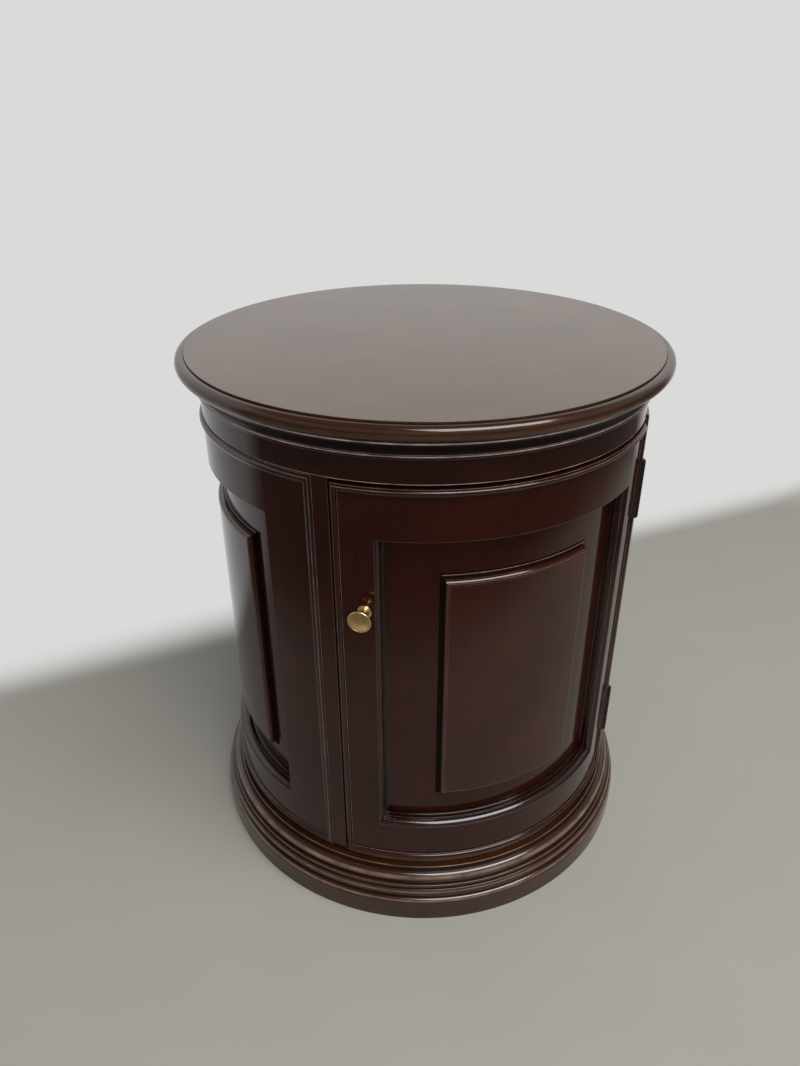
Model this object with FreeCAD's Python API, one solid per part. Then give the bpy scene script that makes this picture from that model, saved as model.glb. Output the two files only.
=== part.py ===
import FreeCAD, Part
import math
import os

# Drum side table: a round cabinet with one curved, hinged door.
# Millimetres. Z is up, the origin is on the floor at the drum's axis, and the door faces -Y.
# Angles round the drum are in degrees from the door's middle, growing towards +X.

# Heights, from the floor up
PLINTH_HEIGHT = 31.0
FLOOR_BOARD_REBATE = 7.5
FLOOR_BOARD_THICKNESS = 15.0
PANEL_HEIGHT = 481.5
FRIEZE_HEIGHT = 25.0
TOP_THICKNESS = 17.0

# Radii and steps in the radius
BODY_RADIUS = 247.5
TOP_OVERHANG = 22.0
FRAME_THICKNESS = 15.0
SHEET_THICKNESS = 6.0
RING_WALL = 21.5
FLOOR_BOARD_SETBACK = 3.0

# Base moulding from the plinth up, then its steps from the body out to the plinth's face
BASE_FILLET_HEIGHT = 1.5
BASE_BEAD_HEIGHT = 10.5
BASE_BEAD_BULGE = 2.6
BASE_BAND_HEIGHT = 5.5
BASE_TORUS_HEIGHT = 11.5
BASE_TORUS_BULGE = 3.6
BASE_LEDGE_HEIGHT = 6.0
BASE_LEDGE_PROJECTION = 5.5
BASE_LEDGE_STEP = 1.5
BASE_TORUS_DEPTH = 6.0
BASE_TORUS_STEP = 4.3
BASE_BAND_STEP = 1.2
BASE_BEAD_STEP = 6.0
PLINTH_EDGE_ROUND = 2.6

# Cornice from the frieze up, then its steps from the body outwards
CORNICE_BEAD_HEIGHT = 5.6
CORNICE_BEAD_BULGE = 2.2
CORNICE_BAND_HEIGHT = 2.9
CORNICE_COVE_HEIGHT = 10.0
CORNICE_COVE_HOLLOW = 1.45
CORNICE_CROWN_HEIGHT = 4.5
CORNICE_BEAD_STEP = 1.4
CORNICE_BAND_STEP = 2.4
CORNICE_COVE_REACH = 5.7
CORNICE_CROWN_STEP = 1.0
FRIEZE_EDGE = 1.0

# Round top
TOP_QUIRK_DEPTH = 1.8
TOP_QUIRK_WIDTH = 2.7
CARCASS_TOP_LEDGE = 10.0

# Posts, door and panels, measured round the drum
DOOR_ANGLE = 89.8
DOOR_SIDE_GAP = 2.5
DOOR_TOP_GAP = 3.5
DOOR_BOTTOM_GAP = 2.5
POST_WIDTH = 16.5
DOOR_STILE_WIDTH = 41.0
PANEL_STILE_WIDTH = 61.0
TOP_RAIL_WIDTH = 54.0
BOTTOM_RAIL_WIDTH = 50.0
DOOR_BEAD_WIDTH = 7.0
PANEL_BEAD_WIDTH = 9.5
BEAD_RISE = 3.5
BEAD_LIP = 0.8

# Moulding inside each frame, and the raised centre panel
OVOLO_WIDTH = 4.5
OVOLO_DEPTH = 8.5
OVOLO_BULGE = 1.2
OVOLO_DROP = 0.8
MOULDING_FILLET = 0.6
MOULDING_FOOT = 1.3
MOULDING_FOOT_HOLLOW = 0.35
MOULDING_FOOT_LIP = 0.3
RAISED_HEIGHT = 9.0
RAISED_STEP = 1.5
RAISED_STEP_WIDTH = 3.5
RAISED_ROUND = 5.0
DOOR_RAISED_ANGLE = 41.1
PANEL_RAISED_ANGLE = 38.1
RAISED_TOP_MARGIN = 43.5
RAISED_BOTTOM_MARGIN = 40.0

# Door furniture
KNOB_FROM_EDGE = 31.0
KNOB_FROM_TOP = 132.5
KNOB_PROJECTION = 25.0
KNOB_FACE_RADIUS = 12.8
KNOB_RIM = 2.6
KNOB_RIM_ROUND = 0.6
KNOB_DOME = 1.6
KNOB_FLARE_RADIUS = 10.4
KNOB_NECK_RADIUS = 5.2
KNOB_NECK_HOLLOW = 2.8
KNOB_COLLAR_RADIUS = 7.0
KNOB_COLLAR_ROUND = 0.6
KNOB_COLLAR_HEIGHT = 2.4
KNOB_SCREW_GRIP = 10.0
KNOB_SCREW_RELIEF = 1.0
KNOB_SCREW_RADIUS = 2.0
KNOB_SCREW_HEAD_RADIUS = 4.2
KNOB_SCREW_HEAD_HEIGHT = 2.6

# Butt hinges
HINGE_LENGTH = 67.5
HINGE_FROM_TOP = 42.5
HINGE_FROM_BOTTOM = 55.0
KNUCKLE_RADIUS = 3.5
KNUCKLE_END_LENGTH = 20.0
KNUCKLE_STANDOFF = 0.2
PIN_RADIUS = 1.75
PIN_CLEARANCE = 0.05
PIN_HEAD_RADIUS = 2.6
PIN_HEAD_HEIGHT = 2.2
LEAF_THICKNESS = 1.6
LEAF_WIDTH = 16.0
LEAF_GAP = 0.4
HINGE_SCREW_RADIUS = 1.5
HINGE_SCREW_HEAD_RADIUS = 2.9
HINGE_SCREW_LENGTH = 13.0
HINGE_SCREW_FROM_END = 10.5

# Door stop and magnetic catch
STOP_THICKNESS = 13.5
STOP_OVERLAP = 17.0
STOP_CLEARANCE = 0.5
MAGNET_RADIUS = 5.0
MAGNET_DEPTH = 5.0
STRIKE_RADIUS = 6.0
STRIKE_THICKNESS = 1.5
CATCH_FROM_TOP = 55.0

# Shelf, pegs and the screws that hold the top
SHELF_THICKNESS = 16.0
SHELF_FROM_FLOOR_BOARD = 226.5
SHELF_EDGE_GAP = 5.0
SHELF_NOTCH_GAP = 2.0
PEG_RADIUS = 3.0
PEG_DEPTH = 10.0
PEG_REACH = 14.0
TOP_SCREW_COUNT = 4
TOP_SCREW_CIRCLE = 150.0
TOP_SCREW_RADIUS = 2.2
TOP_SCREW_HEAD_RADIUS = 4.5
TOP_SCREW_BITE = 11.0

# Clearances
HOLE_CLEARANCE = 0.1
FIT_CLEARANCE = 0.2
RUNNING_CLEARANCE = 0.3

# How far a cutter runs past the wood, and the size of the block that cuts a mitre
CUT_OVERRUN = 1.0
MITRE_BLOCK = 60.0

# Heights that follow
BASE_BEAD_BOTTOM = PLINTH_HEIGHT + BASE_FILLET_HEIGHT
BASE_BEAD_TOP = BASE_BEAD_BOTTOM + BASE_BEAD_HEIGHT
BASE_BAND_TOP = BASE_BEAD_TOP + BASE_BAND_HEIGHT
BASE_TORUS_TOP = BASE_BAND_TOP + BASE_TORUS_HEIGHT
BASE_TOP = BASE_TORUS_TOP + BASE_LEDGE_HEIGHT
FLOOR_UNDERSIDE = BASE_TOP - FLOOR_BOARD_REBATE
SILL = FLOOR_UNDERSIDE + FLOOR_BOARD_THICKNESS
FRIEZE_BOTTOM = SILL + PANEL_HEIGHT
FRIEZE_TOP = FRIEZE_BOTTOM + FRIEZE_HEIGHT
CORNICE_BEAD_TOP = FRIEZE_TOP + CORNICE_BEAD_HEIGHT
CORNICE_BAND_TOP = CORNICE_BEAD_TOP + CORNICE_BAND_HEIGHT
CORNICE_COVE_TOP = CORNICE_BAND_TOP + CORNICE_COVE_HEIGHT
TOP_UNDERSIDE = CORNICE_COVE_TOP + CORNICE_CROWN_HEIGHT
TABLE_HEIGHT = TOP_UNDERSIDE + TOP_THICKNESS
DOOR_BOTTOM = SILL + DOOR_BOTTOM_GAP
DOOR_TOP = FRIEZE_BOTTOM - DOOR_TOP_GAP
KNOB_HEIGHT = DOOR_TOP - KNOB_FROM_TOP
SHELF_BOTTOM = SILL + SHELF_FROM_FLOOR_BOARD
SHELF_TOP = SHELF_BOTTOM + SHELF_THICKNESS

# Radii that follow
TOP_RADIUS = BODY_RADIUS + TOP_OVERHANG
BASE_LEDGE_RADIUS = BODY_RADIUS + BASE_LEDGE_PROJECTION
BASE_TORUS_INNER = BASE_LEDGE_RADIUS + BASE_LEDGE_STEP
BASE_TORUS_OUTER = BASE_TORUS_INNER + BASE_TORUS_DEPTH
BASE_BAND_RADIUS = BASE_TORUS_OUTER + BASE_TORUS_STEP
BASE_BEAD_RADIUS = BASE_BAND_RADIUS + BASE_BAND_STEP
BASE_RADIUS = BASE_BEAD_RADIUS + BASE_BEAD_STEP
FIELD_RADIUS = BODY_RADIUS - FRAME_THICKNESS
SHEET_RADIUS = FIELD_RADIUS - SHEET_THICKNESS
POST_INNER_RADIUS = SHEET_RADIUS - STOP_CLEARANCE
STOP_INNER_RADIUS = POST_INNER_RADIUS - STOP_THICKNESS
RING_INNER_RADIUS = BODY_RADIUS - RING_WALL
FLOOR_RADIUS = BODY_RADIUS - FLOOR_BOARD_SETBACK
CARCASS_TOP_RADIUS = RING_INNER_RADIUS + CARCASS_TOP_LEDGE
HINGE_RADIUS = BODY_RADIUS + KNUCKLE_RADIUS + KNUCKLE_STANDOFF

ORIGIN = FreeCAD.Vector(0, 0, 0)
UP = FreeCAD.Vector(0, 0, 1)
SAME_POINT = 1e-6
QUARTER_TURN = 90


def arc_degrees(length, radius=BODY_RADIUS):
    """The angle that a length takes up round the drum."""
    return math.degrees(length / radius)


# Angles that follow
DOOR_HALF = DOOR_ANGLE / 2
POST_ANGLE = arc_degrees(POST_WIDTH)
FRONT_POST_START = DOOR_HALF + arc_degrees(DOOR_SIDE_GAP)
FRONT_POST_END = FRONT_POST_START + POST_ANGLE
PANEL_ANGLE = (360 - 2 * FRONT_POST_END - 2 * POST_ANGLE) / 3
REAR_POST_START = FRONT_POST_END + PANEL_ANGLE
HINGE_AT = DOOR_HALF + arc_degrees(DOOR_SIDE_GAP) / 2
STOP_START = -FRONT_POST_END
STOP_END = -DOOR_HALF + arc_degrees(STOP_OVERLAP)
KNOB_AT = -DOOR_HALF + arc_degrees(KNOB_FROM_EDGE)
CATCH_AT = -DOOR_HALF + arc_degrees(STOP_OVERLAP) / 2
HINGE_BOTTOMS = {
    "upper": DOOR_TOP - HINGE_FROM_TOP - HINGE_LENGTH,
    "lower": DOOR_BOTTOM + HINGE_FROM_BOTTOM,
}
POST_STARTS = {
    "front_left": -FRONT_POST_END,
    "front_right": FRONT_POST_START,
    "rear_left": -REAR_POST_START - POST_ANGLE,
    "rear_right": REAR_POST_START,
}


# Shapes used by many pieces

def closed_face(points, place):
    """A flat face with corners at points. A pair of points is an arc through the first to the second."""
    edges = []
    first = place(points[0])
    here = first
    for point in points[1:]:
        if isinstance(point[0], tuple):
            end = place(point[1])
            edges.append(Part.Arc(here, place(point[0]), end).toShape())
        else:
            end = place(point)
            edges.append(Part.LineSegment(here, end).toShape())
        here = end
    if not here.isEqual(first, SAME_POINT):
        edges.append(Part.LineSegment(here, first).toShape())
    return Part.Face(Part.Wire(edges))


def section(*points):
    """An outline of (x, z) points, for turning."""
    return closed_face(points, lambda point: FreeCAD.Vector(point[0], 0, point[1]))


def bow(start, end, rise):
    """An arc of an outline, as closed_face takes it. It stands off to the right of the way it runs."""
    across = end[0] - start[0]
    up = end[1] - start[1]
    share = rise / math.hypot(across, up)
    middle = ((start[0] + end[0]) / 2 + up * share, (start[1] + end[1]) / 2 - across * share)
    return (middle, end)


def block(inner, outer, bottom, top):
    """The outline of a plain rectangular wall."""
    return section((inner, bottom), (outer, bottom), (outer, top), (inner, top))


def turned(outline):
    """A full turn of an outline round the drum's axis."""
    return outline.revolve(ORIGIN, UP, 360)


def aim(shape, angle):
    """Turn a shape drawn with X outwards so that X points out of the drum at an angle."""
    shape.rotate(ORIGIN, UP, angle - QUARTER_TURN)
    return shape


def swept(outline, start, end):
    """An outline carried round the drum from one angle to another."""
    return aim(outline.revolve(ORIGIN, UP, end - start), start)


def rod(radius, start, end, z):
    """A round bar along X, from one distance from the drum's axis to another."""
    return Part.makeCylinder(radius, end - start, FreeCAD.Vector(start, 0, z), FreeCAD.Vector(1, 0, 0))


def on_drum(radius, angle, z):
    """A point at a radius and an angle."""
    turn = math.radians(angle)
    return FreeCAD.Vector(radius * math.sin(turn), -radius * math.cos(turn), z)


def upright(points, bottom, top):
    """A vertical bar whose outline is (radius, angle) points."""
    face = closed_face(points, lambda point: on_drum(point[0], point[1], bottom))
    return face.extrude(FreeCAD.Vector(0, 0, top - bottom))


def mitre_block(point, normal):
    """A block on one side of the plane through a point, for cutting a mitre."""
    size = MITRE_BLOCK
    side = Part.makeBox(size, size, size, FreeCAD.Vector(-size / 2, -size / 2, 0))
    side.Placement = FreeCAD.Placement(point, FreeCAD.Rotation(UP, normal))
    return side


# The round top and the rings that carry it

def top_panel():
    rim = (TOP_THICKNESS - TOP_QUIRK_DEPTH) / 2
    rim_centre = TOP_RADIUS - rim
    ledge = TOP_UNDERSIDE + 2 * rim
    flat = rim_centre - TOP_QUIRK_WIDTH
    return turned(section(
        (0, TOP_UNDERSIDE),
        (rim_centre, TOP_UNDERSIDE),
        ((TOP_RADIUS, TOP_UNDERSIDE + rim), (rim_centre, ledge)),
        (flat, ledge),
        (flat, TABLE_HEIGHT),
        (0, TABLE_HEIGHT),
    )).cut(top_screws(HOLE_CLEARANCE))


def cornice_ring():
    """A small bead, a band, a cove and a square crown under the top."""
    bed = CARCASS_TOP_RADIUS + FIT_CLEARANCE
    bead = BODY_RADIUS + CORNICE_BEAD_STEP
    band = bead + CORNICE_BAND_STEP
    cove = band + CORNICE_COVE_REACH
    crown = cove + CORNICE_CROWN_STEP
    return turned(section(
        (bed, FRIEZE_TOP),
        (bead, FRIEZE_TOP),
        bow((bead, FRIEZE_TOP), (bead, CORNICE_BEAD_TOP), CORNICE_BEAD_BULGE),
        (band, CORNICE_BEAD_TOP),
        (band, CORNICE_BAND_TOP),
        bow((band, CORNICE_BAND_TOP), (cove, CORNICE_COVE_TOP), -CORNICE_COVE_HOLLOW),
        (crown, CORNICE_COVE_TOP),
        (crown, TOP_UNDERSIDE),
        (bed, TOP_UNDERSIDE),
    ))


def carcass_top():
    board = turned(block(0, CARCASS_TOP_RADIUS, FRIEZE_TOP, TOP_UNDERSIDE))
    return board.cut(top_screws(HOLE_CLEARANCE))


def frieze_ring():
    return turned(section(
        (RING_INNER_RADIUS, FRIEZE_BOTTOM),
        (BODY_RADIUS - FRIEZE_EDGE, FRIEZE_BOTTOM),
        (BODY_RADIUS, FRIEZE_BOTTOM + FRIEZE_EDGE),
        (BODY_RADIUS, FRIEZE_TOP),
        (RING_INNER_RADIUS, FRIEZE_TOP),
    ))


# The base

def base_moulding():
    """A fillet, a broad bead, a band, a torus and a ledge, rebated inside for the floor board."""
    rebate = FLOOR_RADIUS + FIT_CLEARANCE
    bead_foot = (BASE_BEAD_RADIUS, BASE_BEAD_BOTTOM)
    torus_foot = (BASE_TORUS_OUTER, BASE_BAND_TOP)
    return turned(section(
        (RING_INNER_RADIUS, PLINTH_HEIGHT),
        (BASE_BEAD_RADIUS, PLINTH_HEIGHT),
        bead_foot,
        bow(bead_foot, (BASE_BEAD_RADIUS, BASE_BEAD_TOP), BASE_BEAD_BULGE),
        (BASE_BAND_RADIUS, BASE_BEAD_TOP),
        (BASE_BAND_RADIUS, BASE_BAND_TOP),
        torus_foot,
        bow(torus_foot, (BASE_TORUS_INNER, BASE_TORUS_TOP), BASE_TORUS_BULGE),
        (BASE_LEDGE_RADIUS, BASE_TORUS_TOP),
        (BASE_LEDGE_RADIUS, BASE_TOP),
        (rebate, BASE_TOP),
        (rebate, FLOOR_UNDERSIDE),
        (RING_INNER_RADIUS, FLOOR_UNDERSIDE),
    ))


def plinth_ring():
    edge = PLINTH_EDGE_ROUND
    corner = edge * (1 - math.sqrt(0.5))
    return turned(section(
        (RING_INNER_RADIUS, 0),
        (BASE_RADIUS, 0),
        (BASE_RADIUS, PLINTH_HEIGHT - edge),
        ((BASE_RADIUS - corner, PLINTH_HEIGHT - corner), (BASE_RADIUS - edge, PLINTH_HEIGHT)),
        (RING_INNER_RADIUS, PLINTH_HEIGHT),
    ))


def floor_board():
    board = turned(block(0, FLOOR_RADIUS, FLOOR_UNDERSIDE, SILL))
    slack = arc_degrees(FIT_CLEARANCE)
    pocket_inner = POST_INNER_RADIUS - FIT_CLEARANCE
    for start in POST_STARTS.values():
        pocket = block(pocket_inner, FLOOR_RADIUS + CUT_OVERRUN,
                       FLOOR_UNDERSIDE - CUT_OVERRUN, SILL + CUT_OVERRUN)
        board = board.cut(swept(pocket, start - slack, start + POST_ANGLE + slack))
    return board


# Posts: each foot steps in to stand inside the base moulding

def post(name):
    start = POST_STARTS[name]
    solid = swept(section(
        (POST_INNER_RADIUS, FLOOR_UNDERSIDE),
        (FLOOR_RADIUS, FLOOR_UNDERSIDE),
        (FLOOR_RADIUS, BASE_TOP),
        (BODY_RADIUS, BASE_TOP),
        (BODY_RADIUS, FRIEZE_BOTTOM),
        (POST_INNER_RADIUS, FRIEZE_BOTTOM),
    ), start, start + POST_ANGLE)
    solid = solid.cut(peg(name, HOLE_CLEARANCE))
    if name == "front_right":
        for bottom in HINGE_BOTTOMS.values():
            solid = solid.cut(leaf_mortise(bottom, 1))
            solid = solid.cut(hinge_screws(bottom, 1, HOLE_CLEARANCE))
    return solid


# Curved frames: the door and the fixed panels

def mitred_strips(left, right, bottom, top, outline):
    """Four strips inside the edges of a curved rectangle, mitred at its corners.

    outline has (radius, way in from the edge) points, as closed_face takes them. It starts and ends
    at the radius where the strips are seated.
    """

    def placed(edge, inwards, scale):
        def at(point):
            return (point[0], edge + inwards * scale * point[1])

        points = []
        for point in outline:
            arc = isinstance(point[0], tuple)
            points.append((at(point[0]), at(point[1])) if arc else at(point))
        return points

    top_strip = swept(section(*placed(top, -1, 1)), left, right)
    bottom_strip = swept(section(*placed(bottom, 1, 1)), left, right)
    sides = []
    for edge, inwards in ((left, 1), (right, -1)):
        points = placed(edge, inwards, arc_degrees(1))
        seat = (points[0][0], (points[0][1] + points[-1][1]) / 2)
        side = upright(points + [(seat, points[0])], bottom, top)
        along = on_drum(1, edge + QUARTER_TURN, 0) * inwards
        top_mitre = (-UP - along).normalize()
        bottom_mitre = (UP - along).normalize()
        top_corner = on_drum(BODY_RADIUS, edge, top)
        bottom_corner = on_drum(BODY_RADIUS, edge, bottom)
        top_strip = top_strip.cut(mitre_block(top_corner, top_mitre))
        bottom_strip = bottom_strip.cut(mitre_block(bottom_corner, bottom_mitre))
        side = side.cut(mitre_block(top_corner, -top_mitre))
        sides.append(side.cut(mitre_block(bottom_corner, -bottom_mitre)))
    return Part.makeCompound([top_strip, bottom_strip] + sides)


class Frame:
    """Where one curved frame lies, and the pieces that make it up."""

    def __init__(self, middle, angle, bottom, top, stile_width, bead_width, raised_angle):
        self.left = middle - angle / 2
        self.right = middle + angle / 2
        self.bottom = bottom
        self.top = top
        self.stile = arc_degrees(stile_width)
        self.bead_width = bead_width
        self.raised_half = raised_angle / 2
        self.middle = middle
        self.opening_left = self.left + self.stile
        self.opening_right = self.right - self.stile
        self.opening_bottom = bottom + BOTTOM_RAIL_WIDTH
        self.opening_top = top - TOP_RAIL_WIDTH

    def sheet(self):
        wall = block(SHEET_RADIUS, FIELD_RADIUS, self.bottom, self.top)
        return swept(wall, self.left, self.right)

    def stile_left(self):
        wall = block(FIELD_RADIUS, BODY_RADIUS, self.bottom, self.top)
        return swept(wall, self.left, self.opening_left)

    def stile_right(self):
        wall = block(FIELD_RADIUS, BODY_RADIUS, self.bottom, self.top)
        return swept(wall, self.opening_right, self.right)

    def rail_top(self):
        wall = block(FIELD_RADIUS, BODY_RADIUS, self.opening_top, self.top)
        return swept(wall, self.opening_left, self.opening_right)

    def rail_bottom(self):
        wall = block(FIELD_RADIUS, BODY_RADIUS, self.bottom, self.opening_bottom)
        return swept(wall, self.opening_left, self.opening_right)

    def inner_moulding(self):
        """An ovolo, a short wall and a small cove, stepping down from the frame to the field."""
        face = BODY_RADIUS - OVOLO_DROP
        ledge = face - OVOLO_DEPTH
        wall = OVOLO_WIDTH + MOULDING_FILLET
        heel = (FIELD_RADIUS + MOULDING_FOOT, wall)
        toe = (FIELD_RADIUS + MOULDING_FOOT_LIP, wall + MOULDING_FOOT)
        return mitred_strips(self.opening_left, self.opening_right, self.opening_bottom, self.opening_top, [
            (FIELD_RADIUS, 0),
            (face, 0),
            bow((face, 0), (ledge, OVOLO_WIDTH), OVOLO_BULGE),
            (ledge, wall),
            heel,
            bow(heel, toe, -MOULDING_FOOT_HOLLOW),
            (FIELD_RADIUS, wall + MOULDING_FOOT),
        ])

    def raised_panel(self):
        """A stepped and rounded slab: a turned section and an upright one, cut by each other."""
        left = self.middle - self.raised_half
        right = self.middle + self.raised_half
        low = self.opening_bottom + RAISED_BOTTOM_MARGIN
        high = self.opening_top - RAISED_TOP_MARGIN
        step = FIELD_RADIUS + RAISED_STEP
        face = FIELD_RADIUS + RAISED_HEIGHT
        shoulder = face - RAISED_ROUND
        corner = RAISED_ROUND * (1 - math.sqrt(0.5))
        inset = RAISED_STEP_WIDTH
        flat = inset + RAISED_ROUND
        turn = [arc_degrees(reach) for reach in (inset, inset + corner, flat)]
        spread = arc_degrees(CUT_OVERRUN)
        under = FIELD_RADIUS - CUT_OVERRUN
        level = swept(section(
            (FIELD_RADIUS, low),
            (step, low),
            (step, low + inset),
            (shoulder, low + inset),
            ((face - corner, low + inset + corner), (face, low + flat)),
            (face, high - flat),
            ((face - corner, high - inset - corner), (shoulder, high - inset)),
            (step, high - inset),
            (step, high),
            (FIELD_RADIUS, high),
        ), left - spread, right + spread)
        vertical = upright([
            (under, left),
            (step, left),
            (step, left + turn[0]),
            (shoulder, left + turn[0]),
            ((face - corner, left + turn[1]), (face, left + turn[2])),
            ((face, self.middle), (face, right - turn[2])),
            ((face - corner, right - turn[1]), (shoulder, right - turn[0])),
            (step, right - turn[0]),
            (step, right),
            (under, right),
            ((under, self.middle), (under, left)),
        ], low - CUT_OVERRUN, high + CUT_OVERRUN)
        return level.common(vertical)

    def edge_bead(self):
        """Four strips of half-round bead with lips, mitred at the corners of the frame."""
        width = self.bead_width
        lip = BODY_RADIUS + BEAD_LIP
        crest = BODY_RADIUS + BEAD_RISE
        return mitred_strips(self.left, self.right, self.bottom, self.top, [
            (BODY_RADIUS, 0),
            (lip, 0),
            (lip, BEAD_LIP),
            ((crest, width / 2), (lip, width - BEAD_LIP)),
            (lip, width),
            (BODY_RADIUS, width),
        ])


DOOR = Frame(0, DOOR_ANGLE, DOOR_BOTTOM, DOOR_TOP,
             DOOR_STILE_WIDTH, DOOR_BEAD_WIDTH, DOOR_RAISED_ANGLE)


def panel(middle):
    return Frame(middle, PANEL_ANGLE, SILL, FRIEZE_BOTTOM,
                 PANEL_STILE_WIDTH, PANEL_BEAD_WIDTH, PANEL_RAISED_ANGLE)


PANELS = {
    "left_panel": panel(-FRONT_POST_END - PANEL_ANGLE / 2),
    "back_panel": panel(180),
    "right_panel": panel(FRONT_POST_END + PANEL_ANGLE / 2),
}


def frame_pieces(name, frame):
    return {
        name + "_sheet": frame.sheet(),
        name + "_stile_left": frame.stile_left(),
        name + "_stile_right": frame.stile_right(),
        name + "_rail_top": frame.rail_top(),
        name + "_rail_bottom": frame.rail_bottom(),
        name + "_inner_moulding": frame.inner_moulding(),
        name + "_raised": frame.raised_panel(),
        name + "_edge_bead": frame.edge_bead(),
    }


# Butt hinges, drawn with the pin at Y 0: side 1 is the post, side -1 is the door

def leaf_plate(bottom, side, slack=0.0):
    """The flat of one leaf, between the pin and the leaf's inner edge."""
    near = LEAF_GAP / 2 - slack
    start = FreeCAD.Vector(HINGE_RADIUS - LEAF_WIDTH - slack, near, bottom - slack)
    plate = Part.makeBox(LEAF_WIDTH + slack, LEAF_THICKNESS + 2 * slack, HINGE_LENGTH + 2 * slack, start)
    if side < 0:
        plate = plate.mirror(ORIGIN, FreeCAD.Vector(0, 1, 0))
    return plate


def knuckle(radius, low, high):
    return Part.makeCylinder(radius, high - low, FreeCAD.Vector(HINGE_RADIUS, 0, low))


def knuckle_spans(bottom, side):
    """The door leaf has the middle knuckle and the post leaf the two ends."""
    low = bottom + KNUCKLE_END_LENGTH
    high = bottom + HINGE_LENGTH - KNUCKLE_END_LENGTH
    if side < 0:
        return [(low + RUNNING_CLEARANCE / 2, high - RUNNING_CLEARANCE / 2)]
    top = bottom + HINGE_LENGTH
    return [(bottom, low - RUNNING_CLEARANCE / 2), (high + RUNNING_CLEARANCE / 2, top)]


def hinge_leaf(bottom, side):
    leaf = leaf_plate(bottom, side)
    for low, high in knuckle_spans(bottom, -side):
        clear = RUNNING_CLEARANCE
        leaf = leaf.cut(knuckle(KNUCKLE_RADIUS + clear, low - clear, high + clear))
    for low, high in knuckle_spans(bottom, side):
        leaf = leaf.fuse(knuckle(KNUCKLE_RADIUS, low, high))
    top = bottom + HINGE_LENGTH
    leaf = leaf.cut(knuckle(PIN_RADIUS + PIN_CLEARANCE, bottom - CUT_OVERRUN, top + CUT_OVERRUN))
    return aim(leaf, HINGE_AT).cut(hinge_screws(bottom, side, HOLE_CLEARANCE / 2))


def hinge_pin(bottom):
    top = bottom + HINGE_LENGTH
    pin = knuckle(PIN_RADIUS, bottom - HOLE_CLEARANCE, top + HOLE_CLEARANCE)
    pin = pin.fuse(knuckle(PIN_HEAD_RADIUS, top + HOLE_CLEARANCE, top + PIN_HEAD_HEIGHT))
    pin = pin.fuse(knuckle(PIN_HEAD_RADIUS, bottom - PIN_HEAD_HEIGHT, bottom - HOLE_CLEARANCE))
    return aim(pin, HINGE_AT)


def leaf_mortise(bottom, side):
    return aim(leaf_plate(bottom, side, HOLE_CLEARANCE / 2), HINGE_AT)


def hinge_screws(bottom, side, slack=0.0):
    """Three countersunk screws through one leaf into the wood behind it."""
    face = side * LEAF_GAP / 2
    along = FreeCAD.Vector(0, side, 0)
    x = (HINGE_RADIUS - KNUCKLE_RADIUS + HINGE_RADIUS - LEAF_WIDTH) / 2
    spacing = HINGE_LENGTH / 2 - HINGE_SCREW_FROM_END
    screws = []
    for step in (-1, 0, 1):
        head = FreeCAD.Vector(x, face, bottom + HINGE_LENGTH / 2 + step * spacing)
        cone = Part.makeCone(HINGE_SCREW_HEAD_RADIUS + slack, HINGE_SCREW_RADIUS + slack,
                             LEAF_THICKNESS, head, along)
        shank = Part.makeCylinder(HINGE_SCREW_RADIUS + slack, HINGE_SCREW_LENGTH + slack, head, along)
        screws.append(aim(cone.fuse(shank), HINGE_AT))
    return Part.makeCompound(screws)


def knuckle_notch(bottom):
    """Room for the knuckles in the door's bead."""
    clear = RUNNING_CLEARANCE
    low = bottom - PIN_HEAD_HEIGHT - clear
    high = bottom + HINGE_LENGTH + PIN_HEAD_HEIGHT + clear
    return aim(knuckle(KNUCKLE_RADIUS + clear, low, high), HINGE_AT)


# The knob and its screw

def knob():
    """A turned mushroom knob with a collar, a hollow neck and a domed face."""
    rim_top = KNOB_PROJECTION - KNOB_DOME
    rim_bottom = rim_top - KNOB_RIM
    rim = KNOB_FACE_RADIUS - KNOB_RIM_ROUND
    collar_top = (KNOB_COLLAR_RADIUS, KNOB_COLLAR_HEIGHT)
    neck_foot = (KNOB_NECK_RADIUS, KNOB_COLLAR_HEIGHT)
    ball = (rim ** 2 + KNOB_DOME ** 2) / (2 * KNOB_DOME)
    half_way = KNOB_PROJECTION - ball + math.sqrt(ball ** 2 - (rim / 2) ** 2)
    solid = turned(section(
        (0, 0),
        (KNOB_COLLAR_RADIUS, 0),
        bow((KNOB_COLLAR_RADIUS, 0), collar_top, KNOB_COLLAR_ROUND),
        neck_foot,
        bow(neck_foot, (KNOB_FLARE_RADIUS, rim_bottom), -KNOB_NECK_HOLLOW),
        (rim, rim_bottom),
        bow((rim, rim_bottom), (rim, rim_top), KNOB_RIM_ROUND),
        ((rim / 2, half_way), (0, KNOB_PROJECTION)),
    ))
    depth = KNOB_SCREW_GRIP + KNOB_SCREW_RELIEF
    solid = solid.cut(Part.makeCylinder(KNOB_SCREW_RADIUS + HOLE_CLEARANCE, depth))
    solid.rotate(ORIGIN, FreeCAD.Vector(0, 1, 0), QUARTER_TURN)
    solid.translate(FreeCAD.Vector(BODY_RADIUS, 0, KNOB_HEIGHT))
    return aim(solid, KNOB_AT)


def knob_screw(slack=0.0):
    tip = BODY_RADIUS + KNOB_SCREW_GRIP
    shank = rod(KNOB_SCREW_RADIUS + slack, SHEET_RADIUS, tip, KNOB_HEIGHT)
    head_start = SHEET_RADIUS - KNOB_SCREW_HEAD_HEIGHT
    head = rod(KNOB_SCREW_HEAD_RADIUS, head_start, SHEET_RADIUS, KNOB_HEIGHT)
    return aim(shank.fuse(head), KNOB_AT)


# Door stop, magnet and strike

def catch_disc(radius, start, end):
    return aim(rod(radius, start, end, DOOR_TOP - CATCH_FROM_TOP), CATCH_AT)


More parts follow.
